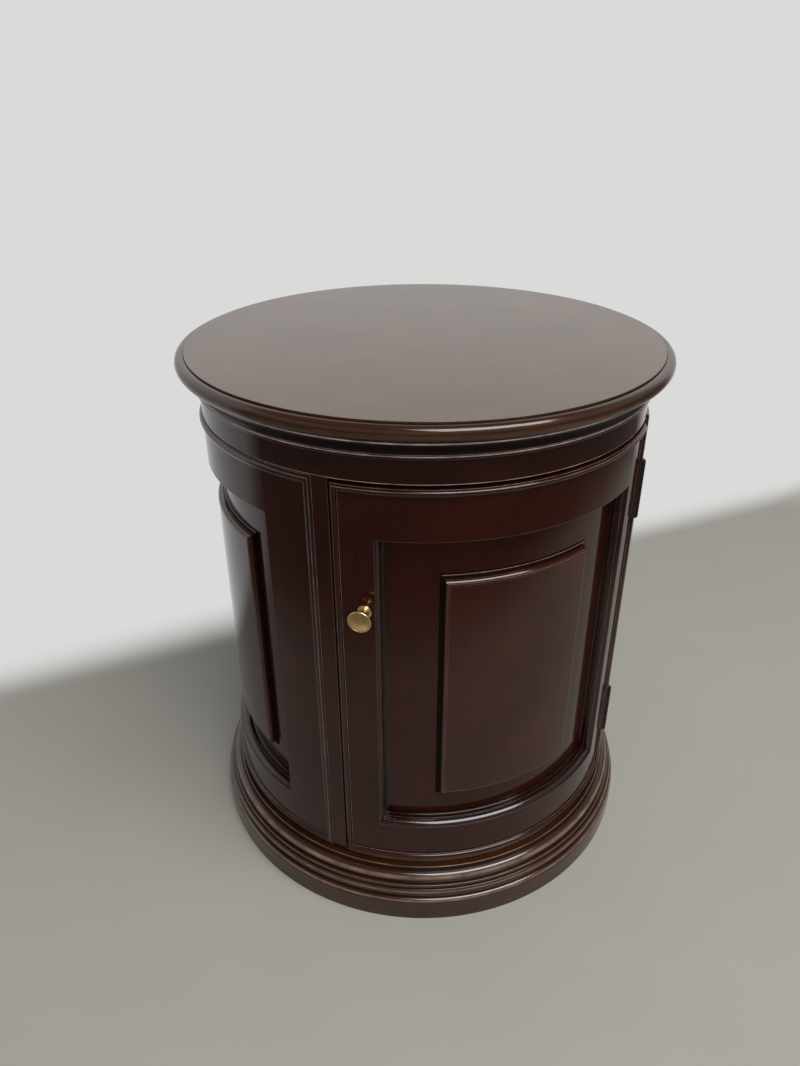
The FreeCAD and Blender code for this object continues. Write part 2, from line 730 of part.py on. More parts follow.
def catch_magnet():
    seat = POST_INNER_RADIUS - MAGNET_DEPTH
    return catch_disc(MAGNET_RADIUS, seat, POST_INNER_RADIUS - FIT_CLEARANCE)


def strike_disc(slack=0.0):
    return catch_disc(STRIKE_RADIUS + slack, SHEET_RADIUS, SHEET_RADIUS + STRIKE_THICKNESS)


def door_stop():
    strip = swept(block(STOP_INNER_RADIUS, POST_INNER_RADIUS, SILL, FRIEZE_BOTTOM), STOP_START, STOP_END)
    seat = POST_INNER_RADIUS - MAGNET_DEPTH
    strip = strip.cut(catch_disc(MAGNET_RADIUS + HOLE_CLEARANCE, seat, BODY_RADIUS))
    return strip.cut(peg("front_left", HOLE_CLEARANCE))


# Shelf, pegs and the screws under the top

def shelf():
    board = turned(block(0, POST_INNER_RADIUS - SHELF_EDGE_GAP, SHELF_BOTTOM, SHELF_TOP))
    slack = arc_degrees(SHELF_NOTCH_GAP)
    notch = block(STOP_INNER_RADIUS - SHELF_NOTCH_GAP, BODY_RADIUS,
                  SHELF_BOTTOM - CUT_OVERRUN, SHELF_TOP + CUT_OVERRUN)
    return board.cut(swept(notch, STOP_START - slack, STOP_END + slack))


def peg(name, slack=0.0):
    """A shelf peg in one post. The front left one goes through the door stop as well."""
    wall = STOP_INNER_RADIUS if name == "front_left" else POST_INNER_RADIUS
    tip = wall - PEG_REACH
    foot = POST_INNER_RADIUS + PEG_DEPTH + slack
    middle = POST_STARTS[name] + POST_ANGLE / 2
    return aim(rod(PEG_RADIUS + slack, tip, foot, SHELF_BOTTOM - PEG_RADIUS), middle)


def shelf_pegs():
    return Part.makeCompound([peg(name) for name in POST_STARTS])


def top_screws(slack=0.0):
    """Flat-headed screws up through the carcass top into the round top."""
    screws = []
    tip = TOP_UNDERSIDE + TOP_SCREW_BITE
    for index in range(TOP_SCREW_COUNT):
        place = on_drum(TOP_SCREW_CIRCLE, (index + 0.5) * 360 / TOP_SCREW_COUNT, FRIEZE_TOP)
        head_height = TOP_SCREW_HEAD_RADIUS - TOP_SCREW_RADIUS
        head = Part.makeCone(TOP_SCREW_HEAD_RADIUS + slack, TOP_SCREW_RADIUS + slack, head_height, place)
        shank = Part.makeCylinder(TOP_SCREW_RADIUS + slack, tip + slack - FRIEZE_TOP, place)
        screws.append(head.fuse(shank))
    return Part.makeCompound(screws)


# The whole table

def door_pieces():
    pieces = frame_pieces("door", DOOR)
    for hole in (knob_screw(HOLE_CLEARANCE), strike_disc(HOLE_CLEARANCE)):
        pieces["door_sheet"] = pieces["door_sheet"].cut(hole)
    pieces["door_stile_left"] = pieces["door_stile_left"].cut(knob_screw(HOLE_CLEARANCE))
    for bottom in HINGE_BOTTOMS.values():
        mortise = leaf_mortise(bottom, -1)
        for cutter in (mortise, hinge_screws(bottom, -1, HOLE_CLEARANCE)):
            for name in ("door_stile_right", "door_sheet"):
                pieces[name] = pieces[name].cut(cutter)
        room = mortise.fuse(knuckle_notch(bottom))
        strips = [strip.cut(room) for strip in pieces["door_edge_bead"].Solids]
        pieces["door_edge_bead"] = Part.makeCompound(strips)
    return pieces


def hinge_pieces():
    pieces = {}
    for name, bottom in HINGE_BOTTOMS.items():
        pieces[name + "_hinge_post_leaf"] = hinge_leaf(bottom, 1)
        pieces[name + "_hinge_door_leaf"] = hinge_leaf(bottom, -1)
        pieces[name + "_hinge_pin"] = hinge_pin(bottom)
    for side, label in ((1, "post"), (-1, "door")):
        groups = [hinge_screws(bottom, side) for bottom in HINGE_BOTTOMS.values()]
        pieces["hinge_screws_" + label] = Part.makeCompound(groups)
    return pieces


def table_pieces():
    pieces = {
        "top_panel": top_panel(),
        "cornice_ring": cornice_ring(),
        "carcass_top": carcass_top(),
        "frieze_ring": frieze_ring(),
        "floor_board": floor_board(),
        "base_moulding": base_moulding(),
        "plinth_ring": plinth_ring(),
        "door_stop": door_stop(),
        "catch_magnet": catch_magnet(),
        "strike_disc": strike_disc(),
        "knob": knob(),
        "knob_screw": knob_screw(),
        "shelf": shelf(),
        "shelf_pegs": shelf_pegs(),
        "top_screws": top_screws(),
    }
    for name in POST_STARTS:
        pieces["post_" + name] = post(name)
    for name, frame in PANELS.items():
        pieces.update(frame_pieces(name, frame))
    pieces.update(door_pieces())
    pieces.update(hinge_pieces())
    return pieces


os.makedirs("parts", exist_ok=True)
for node, shape in table_pieces().items():
    shape.exportStep("parts/" + node + ".step")
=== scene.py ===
import math

import bmesh
import bpy
from mathutils import Matrix, Vector


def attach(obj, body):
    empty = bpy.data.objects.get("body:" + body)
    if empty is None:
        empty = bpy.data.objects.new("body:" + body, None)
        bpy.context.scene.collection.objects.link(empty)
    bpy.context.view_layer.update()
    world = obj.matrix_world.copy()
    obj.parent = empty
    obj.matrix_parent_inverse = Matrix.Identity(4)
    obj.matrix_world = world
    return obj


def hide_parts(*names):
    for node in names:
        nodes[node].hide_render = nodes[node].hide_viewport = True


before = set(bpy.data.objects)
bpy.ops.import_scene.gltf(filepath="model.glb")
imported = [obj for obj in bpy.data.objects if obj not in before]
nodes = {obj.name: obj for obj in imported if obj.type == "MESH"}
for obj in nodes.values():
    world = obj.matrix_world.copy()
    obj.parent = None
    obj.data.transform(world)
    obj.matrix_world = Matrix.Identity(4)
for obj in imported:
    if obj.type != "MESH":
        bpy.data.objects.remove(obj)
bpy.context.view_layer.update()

# Camera: where the photograph was taken from, in degrees and metres
CAMERA_AZIMUTH = -25.2
CAMERA_DISTANCE = 0.8985
CAMERA_HEIGHT = 0.8701
CAMERA_HEADING = 23.47
CAMERA_PITCH = 29.08
CAMERA_ROLL = -0.33
FOCAL_LENGTH_PIXELS = 820
PICTURE_HEIGHT_PIXELS = 1066
SENSOR_HEIGHT = 36

# Radii of the table, in millimetres
MM = 0.001
BODY_RADIUS = 247.5
FIELD_RADIUS = 232.5
INNER_RADIUS = 226.0
FLOOR_RADIUS = 244.5
FLOOR_REBATE_RADIUS = 244.7
PLINTH_RADIUS = 272.0
BASE_RADIUS = 266.0
LOWER_FILLET_RADIUS = 264.8
UPPER_FILLET_RADIUS = 253.0
CORNICE_INNER_RADIUS = 236.2
RIM_JOINT_RADIUS = 250.0
BOARD_RADIUS = 259.2
RIM_RADIUS = 261.9
TOP_MARK_RADIUS = 210.0

# Heights of the table, in millimetres
PLINTH_TOP = 31.0
BASE_BEAD_TOP = 43.0
LOWER_FILLET_TOP = 48.5
FLOOR_UNDERSIDE = 58.5
TORUS_TOP = 60.0
BASE_TOP = 66.0
SILL = 73.5
DOOR_BOTTOM = 76.0
DOOR_TOP = 551.5
FRIEZE_BOTTOM = 555.0
FRIEZE_TOP = 580.0
TOP_UNDERSIDE = 603.0
RIM_TOP = 618.2
TOP_HEIGHT = 620.0

# Door, panels and posts: widths in millimetres, angles in degrees
DOOR_ANGLE = 89.8
DOOR_GAP = 2.5
DOOR_STILE = 41.0
DOOR_BEAD = 7.0
DOOR_RAISED_ANGLE = 41.1
PANEL_STILE = 61.0
PANEL_BEAD = 9.5
PANEL_RAISED_ANGLE = 38.1
RAIL_TOP = 54.0
RAIL_BOTTOM = 50.0
RAISED_TOP_MARGIN = 43.5
RAISED_BOTTOM_MARGIN = 40.0
POST_WIDTH = 16.5
POST_SOFTNESS = 0.8

# Profiles of the bead, the inner moulding and the raised panel, in millimetres
BEAD_RISE = 3.5
BEAD_LIP = 0.8
MOULDING_SINK = 0.8
MOULDING_DEPTH = 8.5
OVOLO_WIDTH = 4.5
LEDGE_END = 5.1
COVE_END = 6.4
MOULDING_SHADE_SHEET_END = 9.6
ARRIS_LAP = 0.06
ARRIS_WIDTH = 0.8
ARRIS_REACH = 0.15
RAISED_STEP = 1.5
RAISED_HEIGHT = 9.0
RAISED_LEDGE = 3.5
RAISED_ROUND = 5.0
RAISED_FLAT = 11.0
RAISED_SHADE_SHEET = 1.1
RAISED_SHADE_END = 3.4

# Hinges and knob, in millimetres and degrees. The knob is a little smaller than its solid
HINGE_LENGTH = 67.5
HINGE_BOTTOMS = (131.0, 441.5)
HINGE_RADIUS = 251.2
KNUCKLE_REACH = 2.6
NOTCH_PLAY = 0.05
PIN_RADIUS = 1.75
PIN_HEAD_RADIUS = 2.6
PIN_HEAD = 2.5
PIN_TIP = 2.2
PIN_SHOULDER = 1.0
PIN_PLAY = 0.1
PIN_DOME = 0.45
LEAF_THICKNESS = 1.6
LEAF_GAP = 0.4
SCREW_RING = 241.45
SCREW_SPACING = 23.25
SCREW_HEAD_RADIUS = 2.9
SCREW_RADIUS = 1.5
SCREW_LENGTH = 13.0
SCREW_POINT = 1.0
SLOT_HALF_WIDTH = 0.42
SLOT_DEPTH = 0.7
SLOT_TURN = 37
KNOB_FROM_EDGE = 30.0
KNOB_HEIGHT = 416.8
LEAF_SOFTNESS = 0.3
BOARD_SOFTNESS = 0.8

# How finely the pieces are divided, and the angle from which an edge is drawn sharp
TURN_STEPS = 288
SWEEP_STEPS = 72
UPRIGHT_STEPS = 8
CORNER_STEPS = 6
KNOB_STEPS = 96
PIN_STEPS = 32
SCREW_HALF_STEPS = 12
FEWEST_ARC_STEPS = 6
ARC_STEP = 0.45
PALE_LINE_STEP = 0.2
SUPPORT = 0.3
SHORTEST = 1e-4
SHARP_DEGREES = 38
BEVEL_SEGMENTS = 2

# Distances in metres within which points are joined, in new pieces and in solids
JOIN_POINTS = 2e-6
JOIN_SOLID_POINTS = 1e-6

# Wear and painted light: 1 on a rubbed edge that also stands for a painted highlight, -1 for painted shade in a
# hollow, and next to none on a corner or bend that gets no painted highlight
PAINTED_SHADE = -1
UNMARKED = -0.05
CORNER_END_WEAR_AND_LIGHT = 0.2

# A near-black matt sheet of painted shade in hollows: its thickness on the panels, and the value of wear and
# painted light below which it shows
SHADE_SHEET = 0.12
SHADE_SHEET_FROM = -0.72


def arc_degrees(length):
    return math.degrees(length / BODY_RADIUS)


POST_ANGLE = arc_degrees(POST_WIDTH)
FRONT_POST_START = DOOR_ANGLE / 2 + arc_degrees(DOOR_GAP)
FRONT_POST_END = FRONT_POST_START + POST_ANGLE
PANEL_ANGLE = (360 - 2 * FRONT_POST_END - 2 * POST_ANGLE) / 3
REAR_POST_START = FRONT_POST_END + PANEL_ANGLE
HINGE_AT = DOOR_ANGLE / 2 + arc_degrees(DOOR_GAP) / 2


def on_drum(radius, angle, z):
    """A point at a radius and an angle from the door's middle, in metres."""
    turn = math.radians(angle)
    return Vector((radius * math.sin(turn), -radius * math.cos(turn), z)) * MM


# Outlines: corners are softened, and each point carries a value of wear and painted light: above 0 a rubbed edge
# with painted highlight, below 0 painted shade

def arc_points(start, end, rise):
    """Points after start along an arc that stands off to the right of the way it runs."""
    start = Vector(start)
    end = Vector(end)
    chord = (end - start).length
    along = (end - start) / chord
    aside = Vector((along.y, -along.x)) * math.copysign(1, rise)
    radius = (chord ** 2 / 4 + rise ** 2) / (2 * abs(rise))
    centre = (start + end) / 2 - aside * (radius - abs(rise))
    half = math.asin(min(1, chord / (2 * radius)))
    steps = max(FEWEST_ARC_STEPS, math.ceil(2 * half * radius / ARC_STEP))
    points = []
    for index in range(1, steps + 1):
        turn = half * (2 * index / steps - 1)
        points.append(centre + aside * radius * math.cos(turn) + along * radius * math.sin(turn))
    return points


def walk(points, start, step, length):
    """The point at a length along a line from one of its points, and the first point beyond it."""
    here = start
    while True:
        after = here + step
        piece = (points[after] - points[here]).length
        if piece >= length or not 0 < after < len(points) - 1:
            share = min(1, length / piece)
            return points[here].lerp(points[after], share), after
        length -= piece
        here = after


def outline(*items):
    """A line through (x, y, softness, rise, swell) items, with the last three left out where they are 0.

    softness is how far a corner is rounded, and rise bends the stretch that leads to the item.
    The piece lies to the left of the line. The result has (x, y, wear_and_light) points: the value
    reaches swell along a bend, or along a straight stretch before the item and on its corner. A corner
    without a swell gets a pale rubbed edge with painted highlight where it stands out, and painted
    shade where it is a hollow.
    """
    points = []
    wear_and_light = []
    corners = []
    for item in items:
        x, y, soft, rise, swell = (tuple(item) + (0, 0, 0))[:5]
        if rise:
            bend = arc_points(points[-1], (x, y), rise)
            points += bend
            count = len(bend)
            wear_and_light += [swell * math.sin(math.pi * (index + 1) / count) for index in range(count)]
        else:
            if swell:
                points.append(points[-1].lerp(Vector((x, y)), 0.5))
                wear_and_light.append(swell)
            points.append(Vector((x, y)))
            wear_and_light.append(swell)
        if soft:
            corners.append((len(points) - 1, soft, swell))
    line = []
    done = 0
    for corner, soft, swell in corners:
        start, before = walk(points, corner, -1, soft)
        end, after = walk(points, corner, 1, soft)
        line += [(*points[index], wear_and_light[index]) for index in range(done, before + 1)]
        into = points[corner] - start
        out = end - points[corner]
        sign = 1 if into.cross(out) > 0 else -1
        for index in range(CORNER_STEPS + 1):
            share = index / CORNER_STEPS
            place = start.lerp(points[corner], share).lerp(points[corner].lerp(end, share), share)
            wear_and_light_value = CORNER_END_WEAR_AND_LIGHT + (1 - CORNER_END_WEAR_AND_LIGHT) * math.sin(math.pi * share)
            line.append((*place, swell or sign * wear_and_light_value))
        done = after
    line += [(*points[index], wear_and_light[index]) for index in range(done, len(points))]
    return supported(line)


def supported(line):
    """The line with points close to the ends of its long stretches, so that flats stay flat."""
    full = [line[0]]
    for here, after in zip(line, line[1:]):
        start = Vector(here[:2])
        end = Vector(after[:2])
        length = (end - start).length
        if length < SHORTEST:
            continue
        if length > 4 * SUPPORT:
            for share in (SUPPORT / length, 1 - SUPPORT / length):
                full.append((*start.lerp(end, share), 0))
        full.append(after)
    return full


def pale_line(line, x, y, width, amount):
    """The outline with a narrow pale line where it passes a point: a painted highlight on the mouldings, and the
    ring mark on the top.
    """
    spot = Vector((x, y))
    fine = [line[0]]
    for here, after in zip(line, line[1:]):
        start = Vector(here[:2])
        end = Vector(after[:2])
        near = min((start - spot).length, (end - spot).length) < width
        pieces = math.ceil((end - start).length / PALE_LINE_STEP) if near else 1
        for index in range(1, pieces + 1):
            share = index / pieces
            place = start.lerp(end, share)
            pale_share = 1 - ((place - spot).length / (width / 2)) ** 2
            fine.append((*place, max(here[2] + (after[2] - here[2]) * share, amount * pale_share)))
    return fine


class Surface:
    """Collects the faces of one piece."""

    def __init__(self):
        self.points = []
        self.wear_and_light = []
        self.faces = []

    def sheet(self, rows, wear_and_light, flip=False, closed=False):
        """Faces between rows of points. closed joins each row's end to its start."""
        base = len(self.points)
        count = len(rows[0])
        for row, wear_and_light_value in zip(rows, wear_and_light):
            self.points += row
            self.wear_and_light += [wear_and_light_value] * count
        for level in range(len(rows) - 1):
            for step in range(count if closed else count - 1):
                after = (step + 1) % count
                low = base + level * count
                corners = (low + step, low + after, low + count + after, low + count + step)
                self.faces.append(corners[::-1] if flip else corners)

    def cap(self, row, flip=False):
        """One flat face."""
        base = len(self.points)
        self.points += row
        self.wear_and_light += [0] * len(row)
        corners = tuple(range(base, base + len(row)))
        self.faces.append(corners[::-1] if flip else corners)

    def close_end(self, rows, end, flip=False):
        """A face across one end (0 or -1) of rows that go round a closed outline."""
        self.cap([row[end] for row in rows[:-1]], flip)

    def piece(self, name, material, body, slot, *stands_for):
        """The finished piece, riding on its body and standing for its solids."""
        made = bmesh.new()
        layer = made.verts.layers.float.new("wear_and_light")
        corners = []
        for place, wear_and_light_value in zip(self.points, self.wear_and_light):
            corner = made.verts.new(place)
            corner[layer] = wear_and_light_value
            corners.append(corner)
        for face in self.faces:
            shown = made.faces.new([corners[index] for index in face])
            shown.smooth = True
            # Faces that are mostly painted shade get the near-black sheet material.
            if sum(self.wear_and_light[index] for index in face) < SHADE_SHEET_FROM * len(face):
                shown.material_index = 1
        bmesh.ops.remove_doubles(made, verts=made.verts, dist=JOIN_POINTS)
        mesh = bpy.data.meshes.new(name)
        made.to_mesh(mesh)
        made.free()
        mesh.set_sharp_from_angle(angle=math.radians(SHARP_DEGREES))
        mesh.materials.append(material)
        if any(face.material_index for face in mesh.polygons):
            mesh.materials.append(shade_sheet_material)
        shown = bpy.data.objects.new(name, mesh)
        bpy.context.scene.collection.objects.link(shown)
        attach(shown, body)
        if stands_for:
            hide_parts(*stands_for)


def turned(line):
    """A full turn of an outline of (radius, z) points."""
    surface = Surface()
    rows = []
    for radius, z, wear_and_light_value in line:
        rows.append([on_drum(radius, 360 * step / TURN_STEPS, z) for step in range(TURN_STEPS)])
    surface.sheet(rows, [point[2] for point in line], closed=True)
    return surface


def spread(low, high, steps):
    return [low + (high - low) * step / steps for step in range(steps + 1)]


def strip_level(surface, line, left, right, edge, inwards):
    """One level side of a curved rectangle, mitred at both ends. line has (radius, way in) points."""
    rows = []
    for radius, reach, wear_and_light_value in line:
        turn = arc_degrees(reach)
        z = edge + inwards * reach
        angles = spread(left + turn, right - turn, SWEEP_STEPS)
        rows.append([on_drum(radius, angle, z) for angle in angles])
    surface.sheet(rows, [point[2] for point in line], flip=inwards < 0)


def strip_upright(surface, line, edge, inwards, low, high):
    """One upright side. low and high give the height of an end from the way in."""
    rows = []
    for radius, reach, wear_and_light_value in line:
        angle = edge + inwards * arc_degrees(reach)
        heights = spread(low(reach), high(reach), UPRIGHT_STEPS)
        rows.append([on_drum(radius, angle, z) for z in heights])
    surface.sheet(rows, [point[2] for point in line], flip=inwards > 0)
    return rows


def mitred(surface, line, left, right, bottom, top, sides=(-1, 1), shaded=None):
    """An outline carried round the inside of a curved rectangle. shaded, when given, is the outline below the top
    side, with painted shade there.
    """
    below = shaded or line
    strip_level(surface, line, left, right, top, -1)
    strip_level(surface, below, left, right, bottom, 1)
    for side in sides:
        edge = left if side < 0 else right
        strip_upright(surface, below, edge, -side, lambda reach: bottom + reach, lambda reach: top - reach)


def patch(surface, radius, left, right, bottom, top, flip=False):
    """A plain curved sheet."""
    rows = []
    for z in (bottom, top):
        rows.append([on_drum(radius, angle, z) for angle in spread(left, right, SWEEP_STEPS)])
    surface.sheet(rows, (0, 0), flip=flip)


# Materials: scales of the noise in wood, from its broad clouds to its fibres
CLOUD_SCALE = 13.0
HAZE_SCALE = 22.0
PATCH_SCALE = 55.0
STREAK_SCALE = 240.0
FIBRE_SCALE = 1500.0

# How a value of the noise or of the wear and painted light becomes another, as low, high, new low and new high
FIGURE_RANGE = (0.3, 0.72)
SHADE_RANGE = (0.32, 0.68, 0.78, 1.2)
PORE_RANGE = (0.58, 0.72, 0.0, 0.18)
PATCH_RANGE = (0.32, 0.66, 0.35, 1.0)
PAINTED_SHADE_RANGE = (-0.05, -0.7, 0.0, 0.88)
PALE_STARTS = 0.05
PALE_ENDS = 0.9

# How far the grain is drawn out, along straight pieces and round the drum, and its relief
STRAIGHT_GRAIN = 0.04
ROUND_GRAIN = 0.012
WOOD_RELIEF = {"Strength": 0.05, "Distance": 0.0004}

# How much the roughness varies over the noise's middle values
NOISE_MIDDLE = (0.3, 0.7)
WOOD_HAZE = 0.02
METAL_SHINE = 0.05
METAL_HAZE = 0.07

# The near-black sheet of painted shade, and the metals
SHADE_SHEET_SCALE = 90.0
SHADE_SHEET_RANGE = (0.35, 0.65)
SHADE_SHEET_ROUGHNESS = (0.3, 0.7, 0.45, 0.6)
SHADE_SHEET_SPECULAR = 0.12
TARNISH_SCALE = 140.0
BRUSH_SCALE = 840.0
TARNISH_RANGE = (0.38, 0.7)
TARNISHED_HOLLOWS = (-0.05, -0.9, 0.0, 0.8)
METAL_RELIEF = {"Strength": 0.04, "Distance": 0.0003}

# Sockets of the node that mixes colours
MIX_SHARE = 0
MIX_FIRST = 6
MIX_SECOND = 7
MIX_RESULT = 2


def node(tree, kind, inputs=None, **settings):
    """A new node. An input is a value, or another node's output that is linked to it."""
    made = tree.nodes.new(kind)
    for key, value in settings.items():
        setattr(made, key, value)
    for key, value in (inputs or {}).items():
        if isinstance(value, bpy.types.NodeSocket):
            tree.links.new(value, made.inputs[key])
        else:
            made.inputs[key].default_value = value
    return made


def new_material(name):
    material = bpy.data.materials.new(name)
    material.use_nodes = True
    tree = material.node_tree
    return material, tree, tree.nodes["Principled BSDF"]


def noise(tree, vector, scale, detail=3.0, roughness=0.55):
    made = node(tree, "ShaderNodeTexNoise",
                {"Vector": vector, "Scale": scale, "Detail": detail, "Roughness": roughness})
    return made.outputs["Fac"]


def remap(tree, value, low, high, new_low=0.0, new_high=1.0):
    made = node(tree, "ShaderNodeMapRange", {"Value": value, "From Min": low, "From Max": high,
                                             "To Min": new_low, "To Max": new_high})
    return made.outputs["Result"]


def blend(tree, share, first, second, kind="MIX"):
    made = node(tree, "ShaderNodeMix", data_type="RGBA", blend_type=kind)
    for index, value in ((MIX_SHARE, share), (MIX_FIRST, first), (MIX_SECOND, second)):
        socket = made.inputs[index]
        if isinstance(value, bpy.types.NodeSocket):
            tree.links.new(value, socket)
        elif isinstance(value, tuple):
            socket.default_value = (*value, 1)
        else:
            socket.default_value = value
    return made.outputs[MIX_RESULT]


def times(tree, first, second):
    made = node(tree, "ShaderNodeMath", {0: first, 1: second}, operation="MULTIPLY")
    return made.outputs[0]


def vector_math(tree, operation, inputs):
    return node(tree, "ShaderNodeVectorMath", inputs, operation=operation).outputs


def wear_and_light_of(tree):
    return node(tree, "ShaderNodeAttribute", attribute_name="wear_and_light").outputs["Fac"]


def grain_space(tree, run):
    """Coordinates that are drawn out along the grain: up the piece, round the drum or along X."""
    place = node(tree, "ShaderNodeTexCoord").outputs["Object"]
    if run == "round":
        parts = node(tree, "ShaderNodeSeparateXYZ", {0: place}).outputs
        flat = node(tree, "ShaderNodeCombineXYZ", {"X": parts["X"], "Y": parts["Y"]}).outputs[0]
        radius = vector_math(tree, "LENGTH", {0: flat})["Value"]
        bearing = vector_math(tree, "NORMALIZE", {0: flat})["Vector"]
        short = vector_math(tree, "SCALE", {0: bearing, "Scale": ROUND_GRAIN})["Vector"]
        lift = node(tree, "ShaderNodeCombineXYZ", {"X": radius, "Y": radius, "Z": parts["Z"]}).outputs[0]
        return place, vector_math(tree, "ADD", {0: short, 1: lift})["Vector"]
    scale = (1, 1, STRAIGHT_GRAIN) if run == "up" else (STRAIGHT_GRAIN, 1, 1)
    return place, vector_math(tree, "MULTIPLY", {0: place, 1: scale})["Vector"]


def add_relief(tree, shader, height, relief):
    bump = node(tree, "ShaderNodeBump", {"Height": height, **relief})
    tree.links.new(bump.outputs[0], shader.inputs["Normal"])


def wood(name, run, dark, light, rubbed_and_highlight, pore_and_shade, roughness, rub_and_highlight, ior):
    """Stained and lacquered wood with its grain, rubbed edges and pale lines that are partly painted highlight,
    and painted shade in hollows.
    """
    material, tree, shader = new_material(name)
    place, along = grain_space(tree, run)
    streak = noise(tree, along, STREAK_SCALE, detail=5.0, roughness=0.6)
    broad = noise(tree, place, CLOUD_SCALE, detail=4.0)
    fibre = noise(tree, along, FIBRE_SCALE, detail=2.0)
    colour = blend(tree, remap(tree, streak, *FIGURE_RANGE), dark, light)
    shade = remap(tree, broad, *SHADE_RANGE)
    tone = node(tree, "ShaderNodeCombineColor", {0: shade, 1: shade, 2: shade}).outputs[0]
    colour = blend(tree, 1.0, colour, tone, "MULTIPLY")
    colour = blend(tree, remap(tree, fibre, *PORE_RANGE), colour, pore_and_shade)
    wear_and_light_value = wear_and_light_of(tree)
    patchy = remap(tree, noise(tree, place, PATCH_SCALE, detail=4.0), *PATCH_RANGE)
    # Pale rubbed edges and painted highlight lines
    pale_share = times(tree, remap(tree, wear_and_light_value, PALE_STARTS, PALE_ENDS, 0.0, rub_and_highlight), patchy)
    colour = blend(tree, pale_share, colour, rubbed_and_highlight)
    # Painted shade in hollows, in the pore colour
    colour = blend(tree, remap(tree, wear_and_light_value, *PAINTED_SHADE_RANGE), colour, pore_and_shade)
    tree.links.new(colour, shader.inputs["Base Color"])
    haze = noise(tree, place, HAZE_SCALE, detail=4.0)
    haze = remap(tree, haze, *NOISE_MIDDLE, roughness - WOOD_HAZE, roughness + WOOD_HAZE)
    tree.links.new(haze, shader.inputs["Roughness"])
    shader.inputs["IOR"].default_value = ior
    add_relief(tree, shader, fibre, WOOD_RELIEF)
    return material


def painted_shade_sheet(name, dark, light):
    """A near-black matt sheet: painted shade in hollows and beside raised parts."""
    material, tree, shader = new_material(name)
    place = node(tree, "ShaderNodeTexCoord").outputs["Object"]
    cloud = noise(tree, place, SHADE_SHEET_SCALE, detail=4.0)
    tree.links.new(blend(tree, remap(tree, cloud, *SHADE_SHEET_RANGE), dark, light), shader.inputs["Base Color"])
    tree.links.new(remap(tree, cloud, *SHADE_SHEET_ROUGHNESS), shader.inputs["Roughness"])
    shader.inputs["Specular IOR Level"].default_value = SHADE_SHEET_SPECULAR
    return material


def metal(name, colour, tarnish, roughness, metallic=1.0):
    """Metal with cloudy tarnish, more of it in hollows."""
    material, tree, shader = new_material(name)
    place = node(tree, "ShaderNodeTexCoord").outputs["Object"]
    cloud = noise(tree, place, TARNISH_SCALE, detail=5.0, roughness=0.65)
    colour = blend(tree, remap(tree, cloud, *TARNISH_RANGE), colour, tarnish)
    colour = blend(tree, remap(tree, wear_and_light_of(tree), *TARNISHED_HOLLOWS), colour, tarnish)
    tree.links.new(colour, shader.inputs["Base Color"])
    shader.inputs["Metallic"].default_value = metallic
    fine = noise(tree, place, BRUSH_SCALE)
    haze = remap(tree, fine, *NOISE_MIDDLE, roughness - METAL_SHINE, roughness + METAL_HAZE)
    tree.links.new(haze, shader.inputs["Roughness"])
    add_relief(tree, shader, fine, METAL_RELIEF)
    return material


# The pore colour, which is also the painted shade in hollows. The rubbed colours are rubbed edges together with
# painted highlight lines; the palest, of the rings, the base and the beads, are mostly painted highlights.
PORE_AND_SHADE_COLOUR = (0.0022, 0.0008, 0.0006)
body_wood = wood(
    "body_wood", "up", dark=(0.0172, 0.0028, 0.0012), light=(0.0228, 0.0039, 0.0017),
    rubbed_and_highlight=(0.14, 0.085, 0.07), pore_and_shade=PORE_AND_SHADE_COLOUR, roughness=0.08, rub_and_highlight=0.5, ior=1.39)
field_wood = wood(
    "field_wood", "up", dark=(0.0205, 0.0037, 0.0017), light=(0.028, 0.0052, 0.0025),
    rubbed_and_highlight=(0.24, 0.15, 0.125), pore_and_shade=PORE_AND_SHADE_COLOUR, roughness=0.08, rub_and_highlight=0.7, ior=1.46)
bead_wood = wood(
    "bead_wood", "up", dark=(0.014, 0.003, 0.0015), light=(0.019, 0.0043, 0.0021),
    rubbed_and_highlight=(0.29, 0.2, 0.185), pore_and_shade=PORE_AND_SHADE_COLOUR, roughness=0.1, rub_and_highlight=0.7, ior=1.48)
# A darker copy of the body's wood for the recessed inner mouldings: painted shade.
recess_shaded_wood = wood(
    "recess_shaded_wood", "up", dark=(0.0085, 0.002, 0.0011), light=(0.012, 0.0028, 0.0015),
    rubbed_and_highlight=(0.16, 0.105, 0.095), pore_and_shade=PORE_AND_SHADE_COLOUR, roughness=0.1, rub_and_highlight=0.5, ior=1.48)
ring_wood = wood(
    "ring_wood", "round", dark=(0.0115, 0.0027, 0.0013), light=(0.0185, 0.0045, 0.002),
    rubbed_and_highlight=(0.6, 0.47, 0.44), pore_and_shade=PORE_AND_SHADE_COLOUR, roughness=0.08, rub_and_highlight=0.95, ior=1.43)
base_wood = wood(
    "base_wood", "round", dark=(0.0155, 0.0043, 0.0015), light=(0.036, 0.0122, 0.0045),
    rubbed_and_highlight=(0.46, 0.33, 0.25), pore_and_shade=PORE_AND_SHADE_COLOUR, roughness=0.14, rub_and_highlight=0.8, ior=1.56)
top_wood = wood(
    "top_wood", "across", dark=(0.039, 0.0175, 0.0073), light=(0.064, 0.0295, 0.0132),
    rubbed_and_highlight=(0.22, 0.12, 0.07), pore_and_shade=PORE_AND_SHADE_COLOUR, roughness=0.17, rub_and_highlight=0.4, ior=1.59)
rim_wood = wood(
    "rim_wood", "round", dark=(0.017, 0.0056, 0.0024), light=(0.027, 0.0095, 0.0038),
    rubbed_and_highlight=(0.26, 0.115, 0.045), pore_and_shade=PORE_AND_SHADE_COLOUR, roughness=0.13, rub_and_highlight=0.5, ior=1.45)
